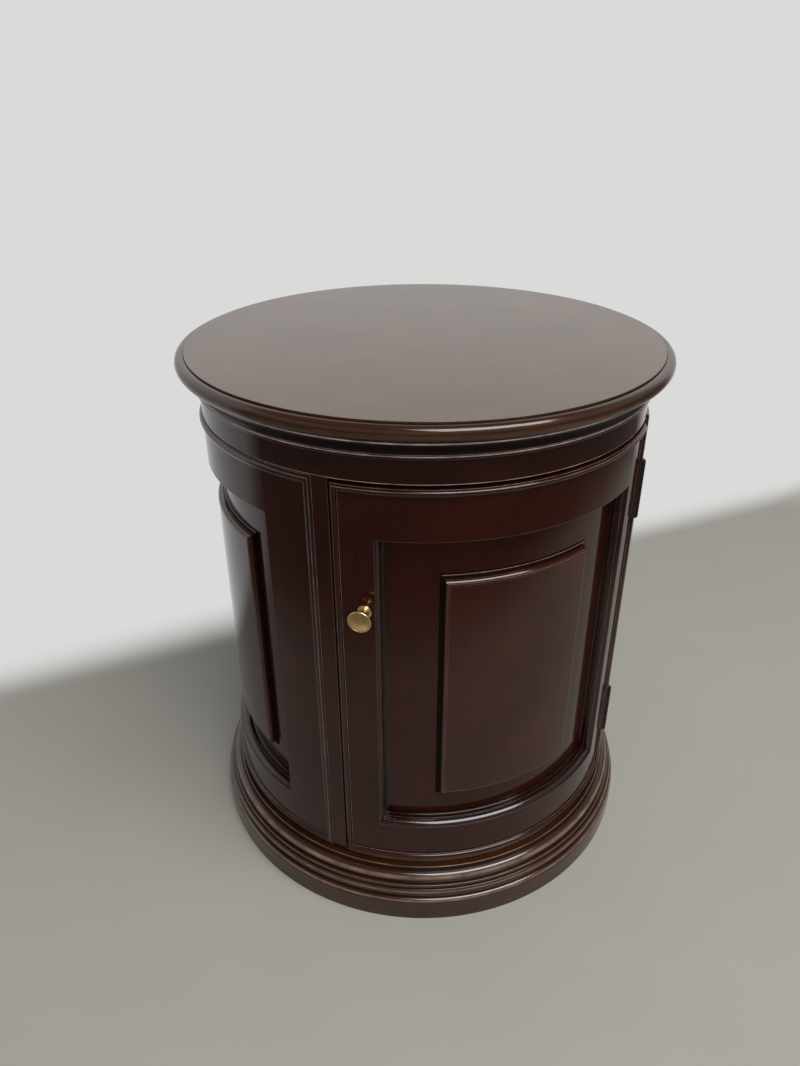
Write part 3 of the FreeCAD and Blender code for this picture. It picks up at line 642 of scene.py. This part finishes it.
inner_wood = wood(
    "inner_wood", "across", dark=(0.075, 0.036, 0.018), light=(0.14, 0.074, 0.038),
    rubbed_and_highlight=(0.2, 0.11, 0.06), pore_and_shade=(0.03, 0.013, 0.007), roughness=0.42, rub_and_highlight=0.8, ior=1.42)
shade_sheet_material = painted_shade_sheet("painted_shade_sheet", dark=PORE_AND_SHADE_COLOUR, light=(0.005, 0.0022, 0.0017))
brass = metal("knob_brass", colour=(0.94, 0.67, 0.33), tarnish=(0.66, 0.43, 0.19), roughness=0.3)
bronze = metal("hinge_bronze", colour=(0.03, 0.026, 0.023), tarnish=(0.012, 0.01, 0.009),
               roughness=0.42, metallic=0.75)
steel = metal("screw_steel", colour=(0.34, 0.31, 0.27), tarnish=(0.16, 0.14, 0.12), roughness=0.36)
iron = metal("magnet", colour=(0.09, 0.09, 0.1), tarnish=(0.05, 0.05, 0.055), roughness=0.5)


def finish_of(name):
    """The material of a solid that is shown as it is."""
    if name in ("carcass_top", "floor_board", "shelf", "door_stop", "shelf_pegs"):
        return inner_wood
    if "hinge" in name:
        return steel if "screws" in name else bronze
    if name in ("knob_screw", "top_screws", "strike_disc"):
        return steel
    if name == "catch_magnet":
        return iron
    return body_wood


for name, shown in nodes.items():
    shown.data.materials.clear()
    shown.data.materials.append(finish_of(name))


# The round top, a board inside a rim, and the rings: radius, height, softness, rise and swell

# The riser at the board's edge, down to the rim, is painted shade.
top_line = outline(
    (0, TOP_UNDERSIDE), (RIM_JOINT_RADIUS, TOP_UNDERSIDE), (RIM_JOINT_RADIUS, RIM_TOP),
    (BOARD_RADIUS, RIM_TOP, 0.7), (BOARD_RADIUS, 619.3, 0, 0, PAINTED_SHADE), (BOARD_RADIUS, TOP_HEIGHT, 0.4, 0, -0.3),
    (0, TOP_HEIGHT),
)
top_line = pale_line(top_line, TOP_MARK_RADIUS, TOP_HEIGHT, width=2.6, amount=0.45)
turned(top_line).piece("top_board", top_wood, "cabinet", "top_wood", "top_panel")

# The quirk where the rim meets the board is painted shade.
rim_line = outline(
    (RIM_JOINT_RADIUS, TOP_UNDERSIDE), (RIM_RADIUS, TOP_UNDERSIDE, 0.4), (RIM_RADIUS, RIM_TOP, 0, 7.6),
    (260.6, RIM_TOP), (BOARD_RADIUS, RIM_TOP, 0, 0, PAINTED_SHADE), (RIM_JOINT_RADIUS, RIM_TOP),
    (RIM_JOINT_RADIUS, TOP_UNDERSIDE),
)
# A painted amber highlight along the rim.
rim_line = pale_line(rim_line, 269.2, 609.5, width=5.0, amount=0.35)
turned(rim_line).piece("top_rim", rim_wood, "cabinet", "top_wood")

# The cove, the fillet under the nose and the recess under the top are painted shade.
cornice_line = outline(
    (CORNICE_INNER_RADIUS, FRIEZE_TOP), (248.9, FRIEZE_TOP, 0.3), (248.9, 585.6, 0.25, 2.2),
    (251.3, 585.6, 0.5), (251.3, 588.2, 0.4), (256.2, 596.4, 0.2, -1.3, -1.6), (256.2, 600.2, 0.2, 1.7),
    (255.6, 600.6, 0.2, 0, -0.9), (255.6, TOP_UNDERSIDE, 0, 0, PAINTED_SHADE),
    (CORNICE_INNER_RADIUS, TOP_UNDERSIDE), (CORNICE_INNER_RADIUS, FRIEZE_TOP),
)
# Painted highlight lines on the nose and on the small bead.
cornice_line = pale_line(cornice_line, 257.7, 599.0, width=1.7, amount=1.0)
cornice_line = pale_line(cornice_line, 250.7, 584.0, width=1.4, amount=0.8)
turned(cornice_line).piece("cornice", ring_wood, "cabinet", "moulding_wood", "cornice_ring")

frieze_line = outline(
    (INNER_RADIUS, FRIEZE_BOTTOM), (BODY_RADIUS - 1, FRIEZE_BOTTOM, 0.25), (BODY_RADIUS, FRIEZE_BOTTOM + 1, 0.5),
    (BODY_RADIUS, FRIEZE_TOP, 0.25), (INNER_RADIUS, FRIEZE_TOP), (INNER_RADIUS, FRIEZE_BOTTOM),
)
turned(frieze_line).piece("frieze", ring_wood, "cabinet", "body_wood", "frieze_ring")

# The hollows between the rings are painted shade, and the bead and torus bends get no painted highlight.
base_line = outline(
    (INNER_RADIUS, PLINTH_TOP), (BASE_RADIUS, PLINTH_TOP, 0.3), (BASE_RADIUS, 32.5, 0.7),
    (BASE_RADIUS, BASE_BEAD_TOP, 0.3, 2.6, UNMARKED), (LOWER_FILLET_RADIUS, BASE_BEAD_TOP, 0.8, 0, PAINTED_SHADE),
    (LOWER_FILLET_RADIUS, LOWER_FILLET_TOP - 1), (LOWER_FILLET_RADIUS, LOWER_FILLET_TOP, 0.7, 0, 0.2),
    (261.6, LOWER_FILLET_TOP), (260.5, LOWER_FILLET_TOP, 0.8, 0, -0.9),
    (254.5, TORUS_TOP, 0.4, 3.6, UNMARKED), (UPPER_FILLET_RADIUS, TORUS_TOP, 1.0, 0, -0.9),
    (UPPER_FILLET_RADIUS, BASE_TOP - 1), (UPPER_FILLET_RADIUS, BASE_TOP, 0.8, 0, 0.22),
    (FLOOR_REBATE_RADIUS, BASE_TOP), (FLOOR_REBATE_RADIUS, FLOOR_UNDERSIDE), (INNER_RADIUS, FLOOR_UNDERSIDE),
    (INNER_RADIUS, PLINTH_TOP),
)
# Painted highlights on the bead and, broad, on the torus.
base_line = pale_line(base_line, 267.9, 40.5, width=2.6, amount=0.36)
base_line = pale_line(base_line, 260.3, 56.0, width=6.0, amount=0.4)
turned(base_line).piece("base_rings", base_wood, "cabinet", "base_wood", "base_moulding")

plinth_line = outline(
    (INNER_RADIUS, 0), (PLINTH_RADIUS, 0, 0.8), (PLINTH_RADIUS, 25.5), (266.5, PLINTH_TOP, 0, 1.611),
    (INNER_RADIUS, PLINTH_TOP), (INNER_RADIUS, 0),
)
# A painted highlight on the plinth's rounded edge.
plinth_line = pale_line(plinth_line, 270.9, 28.8, width=3.2, amount=0.36)
turned(plinth_line).piece("plinth", base_wood, "cabinet", "base_wood", "plinth_ring")


# Curved frames: outlines have radius, way in, softness, rise and swell

def bead_line(width):
    lip = BODY_RADIUS + BEAD_LIP
    line = outline(
        (BODY_RADIUS, 0), (lip, 0, 0.3), (lip, BEAD_LIP, 0.4),
        (lip, width - BEAD_LIP, 0.4, BEAD_RISE - BEAD_LIP), (lip, width, 0.3), (BODY_RADIUS, width),
        (BODY_RADIUS, 0),
    )
    # A painted highlight along the bead's crest.
    return pale_line(line, BODY_RADIUS + 0.8 * BEAD_RISE, 0.3 * width, width=1.2, amount=0.65)


def notched(line, reach):
    """The part of a bead's outline that is left where a knuckle sits in it."""
    kept = [point for point in line if point[1] > reach and point[0] > BODY_RADIUS]
    crest = kept[0][0]
    foot = (BODY_RADIUS, reach, 0)
    return [foot, (crest, reach, 0)] + kept + [(BODY_RADIUS, kept[-1][1], 0), foot]


def edge_bead(name, body, left, right, bottom, top, width, notches=()):
    """A mitred bead round a frame, with notches for the hinges on its right side."""
    surface = Surface()
    line = bead_line(width)
    mitred(surface, line, left, right, bottom, top, (-1,) if notches else (-1, 1))
    starts = [lambda reach: bottom + reach]
    ends = []
    for low, high in notches:
        ends.append(lambda reach, z=low: z)
        starts.append(lambda reach, z=high: z)
        rows = strip_upright(surface, notched(line, KNUCKLE_REACH), right, -1,
                             lambda reach: low + NOTCH_PLAY, lambda reach: high - NOTCH_PLAY)
        surface.close_end(rows, 0, True)
        surface.close_end(rows, -1)
    ends.append(lambda reach: top - reach)
    if notches:
        for index, (start, end) in enumerate(zip(starts, ends)):
            rows = strip_upright(surface, line, right, -1, start, end)
            if index > 0:
                surface.close_end(rows, 0, True)
            if index < len(notches):
                surface.close_end(rows, -1)
    surface.piece(name + "_bead", bead_wood, body, "moulding_wood", name + "_edge_bead")


def inner_moulding(name, body, left, right, bottom, top):
    """An ovolo, a ledge and a cove round the opening, with a pale arris of painted highlight, painted shade on
    the ledge and cove, and a near-black strip of painted shade on the field.
    """
    face = BODY_RADIUS - MOULDING_SINK
    ledge = face - MOULDING_DEPTH
    lap = BODY_RADIUS + ARRIS_LAP
    shade_sheet_radius = FIELD_RADIUS + SHADE_SHEET
    surface = Surface()
    line = outline(
        (FIELD_RADIUS, 0), (BODY_RADIUS, 0), (BODY_RADIUS, -ARRIS_WIDTH), (lap, -ARRIS_WIDTH),
        (lap, ARRIS_REACH, 0.25, 0, 0.55), (face, ARRIS_REACH, 0.2),
        (ledge, OVOLO_WIDTH, 0.3, 1.2), (ledge, LEDGE_END, 0.25),
        (FIELD_RADIUS + 1.3, LEDGE_END, 0, 0, -0.8), (FIELD_RADIUS + 0.3, COVE_END, 0.15, -0.35, -0.5),
        (shade_sheet_radius, COVE_END, 0, 0, PAINTED_SHADE), (shade_sheet_radius, MOULDING_SHADE_SHEET_END, 0, 0, PAINTED_SHADE),
        (FIELD_RADIUS, MOULDING_SHADE_SHEET_END), (FIELD_RADIUS, 0),
    )
    # A painted highlight on the ovolo.
    line = pale_line(line, face - 3.4, 3.1, width=1.4, amount=0.6)
    mitred(surface, line, left, right, bottom, top)
    surface.piece(name + "_moulding", recess_shaded_wood, body, "moulding_wood", name + "_inner_moulding")


def raised_panel(name, body, left, right, bottom, top):
    """A raised panel with a rounded edge, ringed by a near-black strip of painted shade. Its ledge is painted
    shade all round; on the top its step keeps a pale arris of painted highlight, which the sides and bottom lose
    to painted shade.
    """
    step = FIELD_RADIUS + RAISED_STEP
    face = FIELD_RADIUS + RAISED_HEIGHT
    shade_sheet_radius = FIELD_RADIUS + SHADE_SHEET
    surface = Surface()
    line = outline(
        (FIELD_RADIUS, -RAISED_SHADE_SHEET), (shade_sheet_radius, -RAISED_SHADE_SHEET, 0, 0, PAINTED_SHADE), (shade_sheet_radius, 0, 0, 0, PAINTED_SHADE),
        (step, 0, 0.5), (step, 1.2), (step, RAISED_LEDGE, 0.3, 0, PAINTED_SHADE),
        (face - RAISED_ROUND, RAISED_LEDGE, 0, 0, PAINTED_SHADE), (face, RAISED_LEDGE + RAISED_ROUND, 0, 1.464),
        (face, RAISED_FLAT),
    )
    # Painted highlight lines on the rounded edge and at the border of the face.
    line = pale_line(line, face - 0.5, 6.4, width=1.5, amount=0.45)
    line = pale_line(line, face, 8.4, width=1.0, amount=0.35)
    # On the sides and below, everything less than RAISED_SHADE_END in is painted shade.
    dark = [(radius, reach, PAINTED_SHADE if reach < RAISED_SHADE_END else wear_and_light_value) for radius, reach, wear_and_light_value in line]
    mitred(surface, line, left, right, bottom, top, shaded=dark)
    for radius, reach, flip in ((face, line[-1][1], False), (FIELD_RADIUS, line[0][1], True)):
        turn = arc_degrees(reach)
        patch(surface, radius, left + turn, right - turn, bottom + reach, top - reach, flip)
    surface.piece(name + "_field", field_wood, body, "body_wood", name + "_raised")


def curved_frame(name, body, middle, angle, bottom, top, stile, bead, raised, notches=()):
    """The bead, the inner moulding and the raised panel of a door or a fixed panel."""
    left = middle - angle / 2
    right = middle + angle / 2
    inset = arc_degrees(stile)
    low = bottom + RAIL_BOTTOM
    high = top - RAIL_TOP
    edge_bead(name, body, left, right, bottom, top, bead, notches)
    inner_moulding(name, body, left + inset, right - inset, low, high)
    raised_panel(name, body, middle - raised / 2, middle + raised / 2,
                 low + RAISED_BOTTOM_MARGIN, high - RAISED_TOP_MARGIN)


hinge_notches = [(bottom - PIN_HEAD, bottom + HINGE_LENGTH + PIN_HEAD) for bottom in HINGE_BOTTOMS]
curved_frame("door", "door", 0, DOOR_ANGLE, DOOR_BOTTOM, DOOR_TOP,
             DOOR_STILE, DOOR_BEAD, DOOR_RAISED_ANGLE, hinge_notches)
for name, middle in (("left_panel", -FRONT_POST_END - PANEL_ANGLE / 2), ("back_panel", 180),
                     ("right_panel", FRONT_POST_END + PANEL_ANGLE / 2)):
    curved_frame(name, "cabinet", middle, PANEL_ANGLE, SILL, FRIEZE_BOTTOM,
                 PANEL_STILE, PANEL_BEAD, PANEL_RAISED_ANGLE)


def post(name, start):
    """A plain post with softened edges, and its foot inside the base."""
    surface = Surface()
    for outer, low, high in ((BODY_RADIUS, BASE_TOP, FRIEZE_BOTTOM), (FLOOR_RADIUS, FLOOR_UNDERSIDE, BASE_TOP)):
        line = outline(
            (INNER_RADIUS, 0), (outer, 0, POST_SOFTNESS), (outer, POST_WIDTH / 2),
            (outer, POST_WIDTH, POST_SOFTNESS), (INNER_RADIUS, POST_WIDTH), (INNER_RADIUS, 0),
        )
        rows = strip_upright(surface, line, start, 1, lambda reach: low, lambda reach: high)
        surface.close_end(rows, 0)
        surface.close_end(rows, -1, True)
    surface.piece(name + "_bar", body_wood, "cabinet", "body_wood", "post_" + name)


post("front_left", -FRONT_POST_END)
post("rear_left", -REAR_POST_START - POST_ANGLE)
post("rear_right", REAR_POST_START)


# The knob, the hinges' pins and their screws

UP = Vector((0, 0, 1))


def turned_about(surface, line, centre, axis, side, angles):
    """An outline of (radius, height) points turned about an axis, in millimetres."""
    across = axis.cross(side)
    rows = []
    for radius, height, wear_and_light_value in line:
        row = []
        for angle in angles:
            spoke = side * math.cos(angle) + across * math.sin(angle)
            row.append((centre + axis * height + spoke * radius) * MM)
        rows.append(row)
    surface.sheet(rows, [point[2] for point in line], closed=True)


def even_angles(count):
    return [2 * math.pi * step / count for step in range(count)]


def directions(angle):
    """The ways out of the drum and round it at an angle."""
    turn = math.radians(angle)
    return Vector((math.sin(turn), -math.cos(turn), 0)), Vector((math.cos(turn), math.sin(turn), 0))


def knob():
    """A turned knob: a foot with two rings, a flared neck and a domed face with a hollow line round it."""
    line = outline(
        (0, 0), (6.6, 0, 0.2), (6.6, 1.8, 0.3, 0.65), (5.3, 2.2, 0.3), (5.3, 2.6, 0.2), (5.3, 4.2, 0.2, 0.7),
        (4.7, 4.5, 0.4), (9.6, 16.6, 0.5, -2.3), (11.2, 16.7, 0.3), (11.2, 19.2, 0.35, 0.6), (10.3, 19.3, 0.25),
        (10.0, 18.9, 0.2), (0, 20.5, 0, 0.35),
    )
    out, around = directions(-DOOR_ANGLE / 2 + arc_degrees(KNOB_FROM_EDGE))
    surface = Surface()
    turned_about(surface, line, out * BODY_RADIUS + UP * KNOB_HEIGHT, out, around, even_angles(KNOB_STEPS))
    surface.piece("knob_turned", brass, "door", "knob_brass", "knob")


def hinge_pin(name, bottom):
    """A pin with domed heads."""
    line = outline(
        (0, -PIN_TIP), (PIN_HEAD_RADIUS, -PIN_SHOULDER, 0.25, PIN_DOME), (PIN_HEAD_RADIUS, -PIN_PLAY, 0.2),
        (PIN_RADIUS, -PIN_PLAY), (PIN_RADIUS, HINGE_LENGTH + PIN_PLAY),
        (PIN_HEAD_RADIUS, HINGE_LENGTH + PIN_PLAY, 0.2), (PIN_HEAD_RADIUS, HINGE_LENGTH + PIN_SHOULDER, 0.25),
        (0, HINGE_LENGTH + PIN_TIP, 0, PIN_DOME),
    )
    out, around = directions(HINGE_AT)
    surface = Surface()
    turned_about(surface, line, out * HINGE_RADIUS + UP * bottom, UP, out, even_angles(PIN_STEPS))
    surface.piece(name + "_hinge_rod", bronze, "cabinet", "hinge_bronze", name + "_hinge_pin")


def slotted_screw(surface, centre, into, side):
    """A countersunk screw with a slot across its head."""
    across = into.cross(side)
    chord = math.asin(SLOT_HALF_WIDTH / SCREW_HEAD_RADIUS)
    half = [chord + (math.pi - 2 * chord) * step / SCREW_HALF_STEPS for step in range(SCREW_HALF_STEPS + 1)]
    angles = half + [math.pi] + [math.pi + angle for angle in half] + [2 * math.pi]
    line = outline((SCREW_HEAD_RADIUS, 0), (SCREW_RADIUS, LEAF_THICKNESS),
                   (SCREW_RADIUS, SCREW_LENGTH - SCREW_POINT), (0, SCREW_LENGTH))
    turned_about(surface, line, centre, into, side, angles)

    def place(x, y, depth):
        return (centre + side * x + across * y + into * depth) * MM

    end = math.sqrt(SCREW_HEAD_RADIUS ** 2 - SLOT_HALF_WIDTH ** 2)
    for turn in (1, -1):
        rim = turn * SCREW_HEAD_RADIUS
        near = turn * SLOT_HALF_WIDTH
        tip = turn * end
        surface.cap([place(rim * math.cos(angle), rim * math.sin(angle), 0) for angle in half], True)
        surface.cap([place(-tip, near, 0), place(tip, near, 0),
                     place(tip, near, SLOT_DEPTH), place(-tip, near, SLOT_DEPTH)])
        surface.cap([place(tip, -near, 0), place(rim, 0, 0), place(tip, near, 0)], True)
        surface.cap([place(tip, near, 0), place(tip, -near, 0),
                     place(tip, -near, SLOT_DEPTH), place(tip, near, SLOT_DEPTH)])
    surface.cap([place(-end, -SLOT_HALF_WIDTH, SLOT_DEPTH), place(end, -SLOT_HALF_WIDTH, SLOT_DEPTH),
                 place(end, SLOT_HALF_WIDTH, SLOT_DEPTH), place(-end, SLOT_HALF_WIDTH, SLOT_DEPTH)], True)


def hinge_screws(name, body, side):
    """The screws of both hinges in the post or the door, with their slots turned at odds."""
    out, around = directions(HINGE_AT)
    into = around * side
    surface = Surface()
    count = 0
    for bottom in HINGE_BOTTOMS:
        for step in (-1, 0, 1):
            height = bottom + HINGE_LENGTH / 2 + step * SCREW_SPACING
            centre = out * SCREW_RING + into * (LEAF_GAP / 2) + UP * height
            turn = math.radians(SLOT_TURN * count)
            slotted_screw(surface, centre, into, out * math.cos(turn) + UP * math.sin(turn))
            count += 1
    surface.piece("slotted_screws_" + name, steel, body, "screw_steel", "hinge_screws_" + name)


knob()
for name, bottom in zip(("lower", "upper"), HINGE_BOTTOMS):
    hinge_pin(name, bottom)
hinge_screws("post", "cabinet", 1)
hinge_screws("door", "door", -1)


# Hinge leaves and boards that are shown as their solids get softened edges

def soften(name, width):
    weld = nodes[name].modifiers.new("weld", "WELD")
    weld.merge_threshold = JOIN_SOLID_POINTS
    bevel = nodes[name].modifiers.new("soften", "BEVEL")
    bevel.width = width * MM
    bevel.segments = BEVEL_SEGMENTS
    bevel.limit_method = "ANGLE"
    bevel.angle_limit = math.radians(SHARP_DEGREES)


for name in ("upper", "lower"):
    soften(name + "_hinge_post_leaf", LEAF_SOFTNESS)
    soften(name + "_hinge_door_leaf", LEAF_SOFTNESS)
for name in ("shelf", "door_stop"):
    soften(name, BOARD_SOFTNESS)


# Surroundings, in metres: where the floor ends at the wall and fades out, and the room's colours
FLOOR_HALF_WIDTH = 80
WALL_START = 0.37
WALL_END = 0.52
GROUND_CENTRE = (0.27, 0.05, 0)
GROUND_SQUEEZE = (0.82, 1, 1)
GROUND_INNER = 0.74
GROUND_OUTER = 1.08
GROUND_SCALE = 6.0
GROUND_DARK = (0.258, 0.248, 0.221)
GROUND_LIGHT = (0.279, 0.268, 0.239)
FLOOR_ROUGHNESS = 0.7
FLOOR_SPECULAR = 0.2
WALL_BEARING = (0.05, 0.999, 0)
WALL_EDGE = (0.22, 0.4)
PALE = (0.7, 0.705, 0.695)
DIM = (0.12, 0.115, 0.11)
BRIGHT_WALL = (1.0, 1.0, 0.985)
BRIGHT_ROOM = (0.45, 0.45, 0.45)
OVERHEAD = (0.14, 0.14, 0.14)
BRIGHT_HEIGHTS = (0.04, 0.4)
OVERHEAD_HEIGHTS = (0.6, 0.8)


def surroundings(tree, bearing, room=DIM, wall=PALE):
    """The colour of the room in a direction: a pale wall behind the table, a dim room elsewhere."""
    towards = vector_math(tree, "DOT_PRODUCT", {0: bearing, 1: WALL_BEARING})["Value"]
    return blend(tree, remap(tree, towards, *WALL_EDGE), room, wall)


def smooth(tree, value, low, high):
    made = node(tree, "ShaderNodeMapRange", {"Value": value, "From Min": low, "From Max": high},
                interpolation_type="SMOOTHSTEP")
    return made.outputs["Result"]


def larger(tree, first, second):
    return node(tree, "ShaderNodeMath", {0: first, 1: second}, operation="MAXIMUM").outputs[0]


def seen_directly(tree):
    """1 for what the camera sees itself, in gloss or through glass."""
    path = node(tree, "ShaderNodeLightPath").outputs
    return larger(tree, larger(tree, path["Is Camera Ray"], path["Is Glossy Ray"]), path["Is Transmission Ray"])


def make_floor():
    """A pale floor that fades into the surroundings."""
    material, tree, shader = new_material("floor")
    spot = node(tree, "ShaderNodeTexCoord").outputs["Object"]
    depth = node(tree, "ShaderNodeSeparateXYZ", {0: spot}).outputs["Y"]
    offset = vector_math(tree, "SUBTRACT", {0: spot, 1: GROUND_CENTRE})["Vector"]
    offset = vector_math(tree, "MULTIPLY", {0: offset, 1: GROUND_SQUEEZE})["Vector"]
    reach = vector_math(tree, "LENGTH", {0: offset})["Value"]
    far = larger(tree, smooth(tree, depth, WALL_START, WALL_END), smooth(tree, reach, GROUND_INNER, GROUND_OUTER))
    room = surroundings(tree, vector_math(tree, "NORMALIZE", {0: spot})["Vector"])
    ground = blend(tree, noise(tree, spot, GROUND_SCALE), GROUND_DARK, GROUND_LIGHT)
    tree.links.new(blend(tree, far, ground, room), shader.inputs["Base Color"])
    shader.inputs["Roughness"].default_value = FLOOR_ROUGHNESS
    shader.inputs["Specular IOR Level"].default_value = FLOOR_SPECULAR
    backdrop = node(tree, "ShaderNodeEmission", {"Color": room})
    joined = node(tree, "ShaderNodeMixShader", {0: times(tree, far, seen_directly(tree)), 1: shader.outputs[0],
                                                2: backdrop.outputs[0]})
    tree.links.new(joined.outputs[0], tree.nodes["Material Output"].inputs["Surface"])
    half = FLOOR_HALF_WIDTH
    mesh = bpy.data.meshes.new("floor")
    mesh.from_pydata([(-half, -half, 0), (half, -half, 0), (half, half, 0), (-half, half, 0)], [], [(0, 1, 2, 3)])
    mesh.materials.append(material)
    floor = bpy.data.objects.new("floor", mesh)
    bpy.context.scene.collection.objects.link(floor)


def make_world():
    """The same surroundings above the floor, brighter higher up and darker overhead."""
    world = bpy.data.worlds.new("world")
    world.use_nodes = True
    tree = world.node_tree
    bearing = node(tree, "ShaderNodeTexCoord").outputs["Generated"]
    height = node(tree, "ShaderNodeSeparateXYZ", {0: bearing}).outputs["Z"]
    colour = blend(tree, smooth(tree, height, *BRIGHT_HEIGHTS), surroundings(tree, bearing),
                   surroundings(tree, bearing, BRIGHT_ROOM, BRIGHT_WALL))
    colour = blend(tree, smooth(tree, height, *OVERHEAD_HEIGHTS), colour, OVERHEAD)
    tree.links.new(colour, tree.nodes["Background"].inputs["Color"])
    bpy.context.scene.world = world


def soft_light(name, place, target, width, height, watts, in_gloss):
    data = bpy.data.lights.new(name, "AREA")
    data.shape = "RECTANGLE"
    data.size = width
    data.size_y = height
    data.energy = watts
    lamp = bpy.data.objects.new(name, data)
    lamp.location = place
    lamp.rotation_euler = (Vector(target) - Vector(place)).to_track_quat("-Z", "Y").to_euler()
    lamp.visible_camera = False
    lamp.visible_glossy = in_gloss
    bpy.context.scene.collection.objects.link(lamp)


def make_camera():
    data = bpy.data.cameras.new("camera")
    data.sensor_fit = "VERTICAL"
    data.sensor_height = SENSOR_HEIGHT
    data.lens = SENSOR_HEIGHT * FOCAL_LENGTH_PIXELS / PICTURE_HEIGHT_PIXELS
    camera = bpy.data.objects.new("camera", data)
    bpy.context.scene.collection.objects.link(camera)
    azimuth = math.radians(CAMERA_AZIMUTH)
    place = Vector((math.sin(azimuth), -math.cos(azimuth), 0)) * CAMERA_DISTANCE
    place.z = CAMERA_HEIGHT
    heading = Matrix.Rotation(-math.radians(CAMERA_HEADING), 4, "Z")
    pitch = Matrix.Rotation(math.radians(90 - CAMERA_PITCH), 4, "X")
    roll = Matrix.Rotation(math.radians(CAMERA_ROLL), 4, "Z")
    camera.matrix_world = Matrix.Translation(place) @ heading @ pitch @ roll
    bpy.context.scene.camera = camera


soft_light("ceiling", place=(0.5, -1.6, 3.2), target=(0.5, -0.4, 0.2),
           width=2.4, height=1.6, watts=128, in_gloss=True)
soft_light("front", place=(-0.6, -2.5, 1.55), target=(0, 0, 0.5),
           width=2.4, height=0.9, watts=33, in_gloss=False)
make_floor()
make_world()
make_camera()
bpy.context.scene.view_settings.view_transform = "Standard"
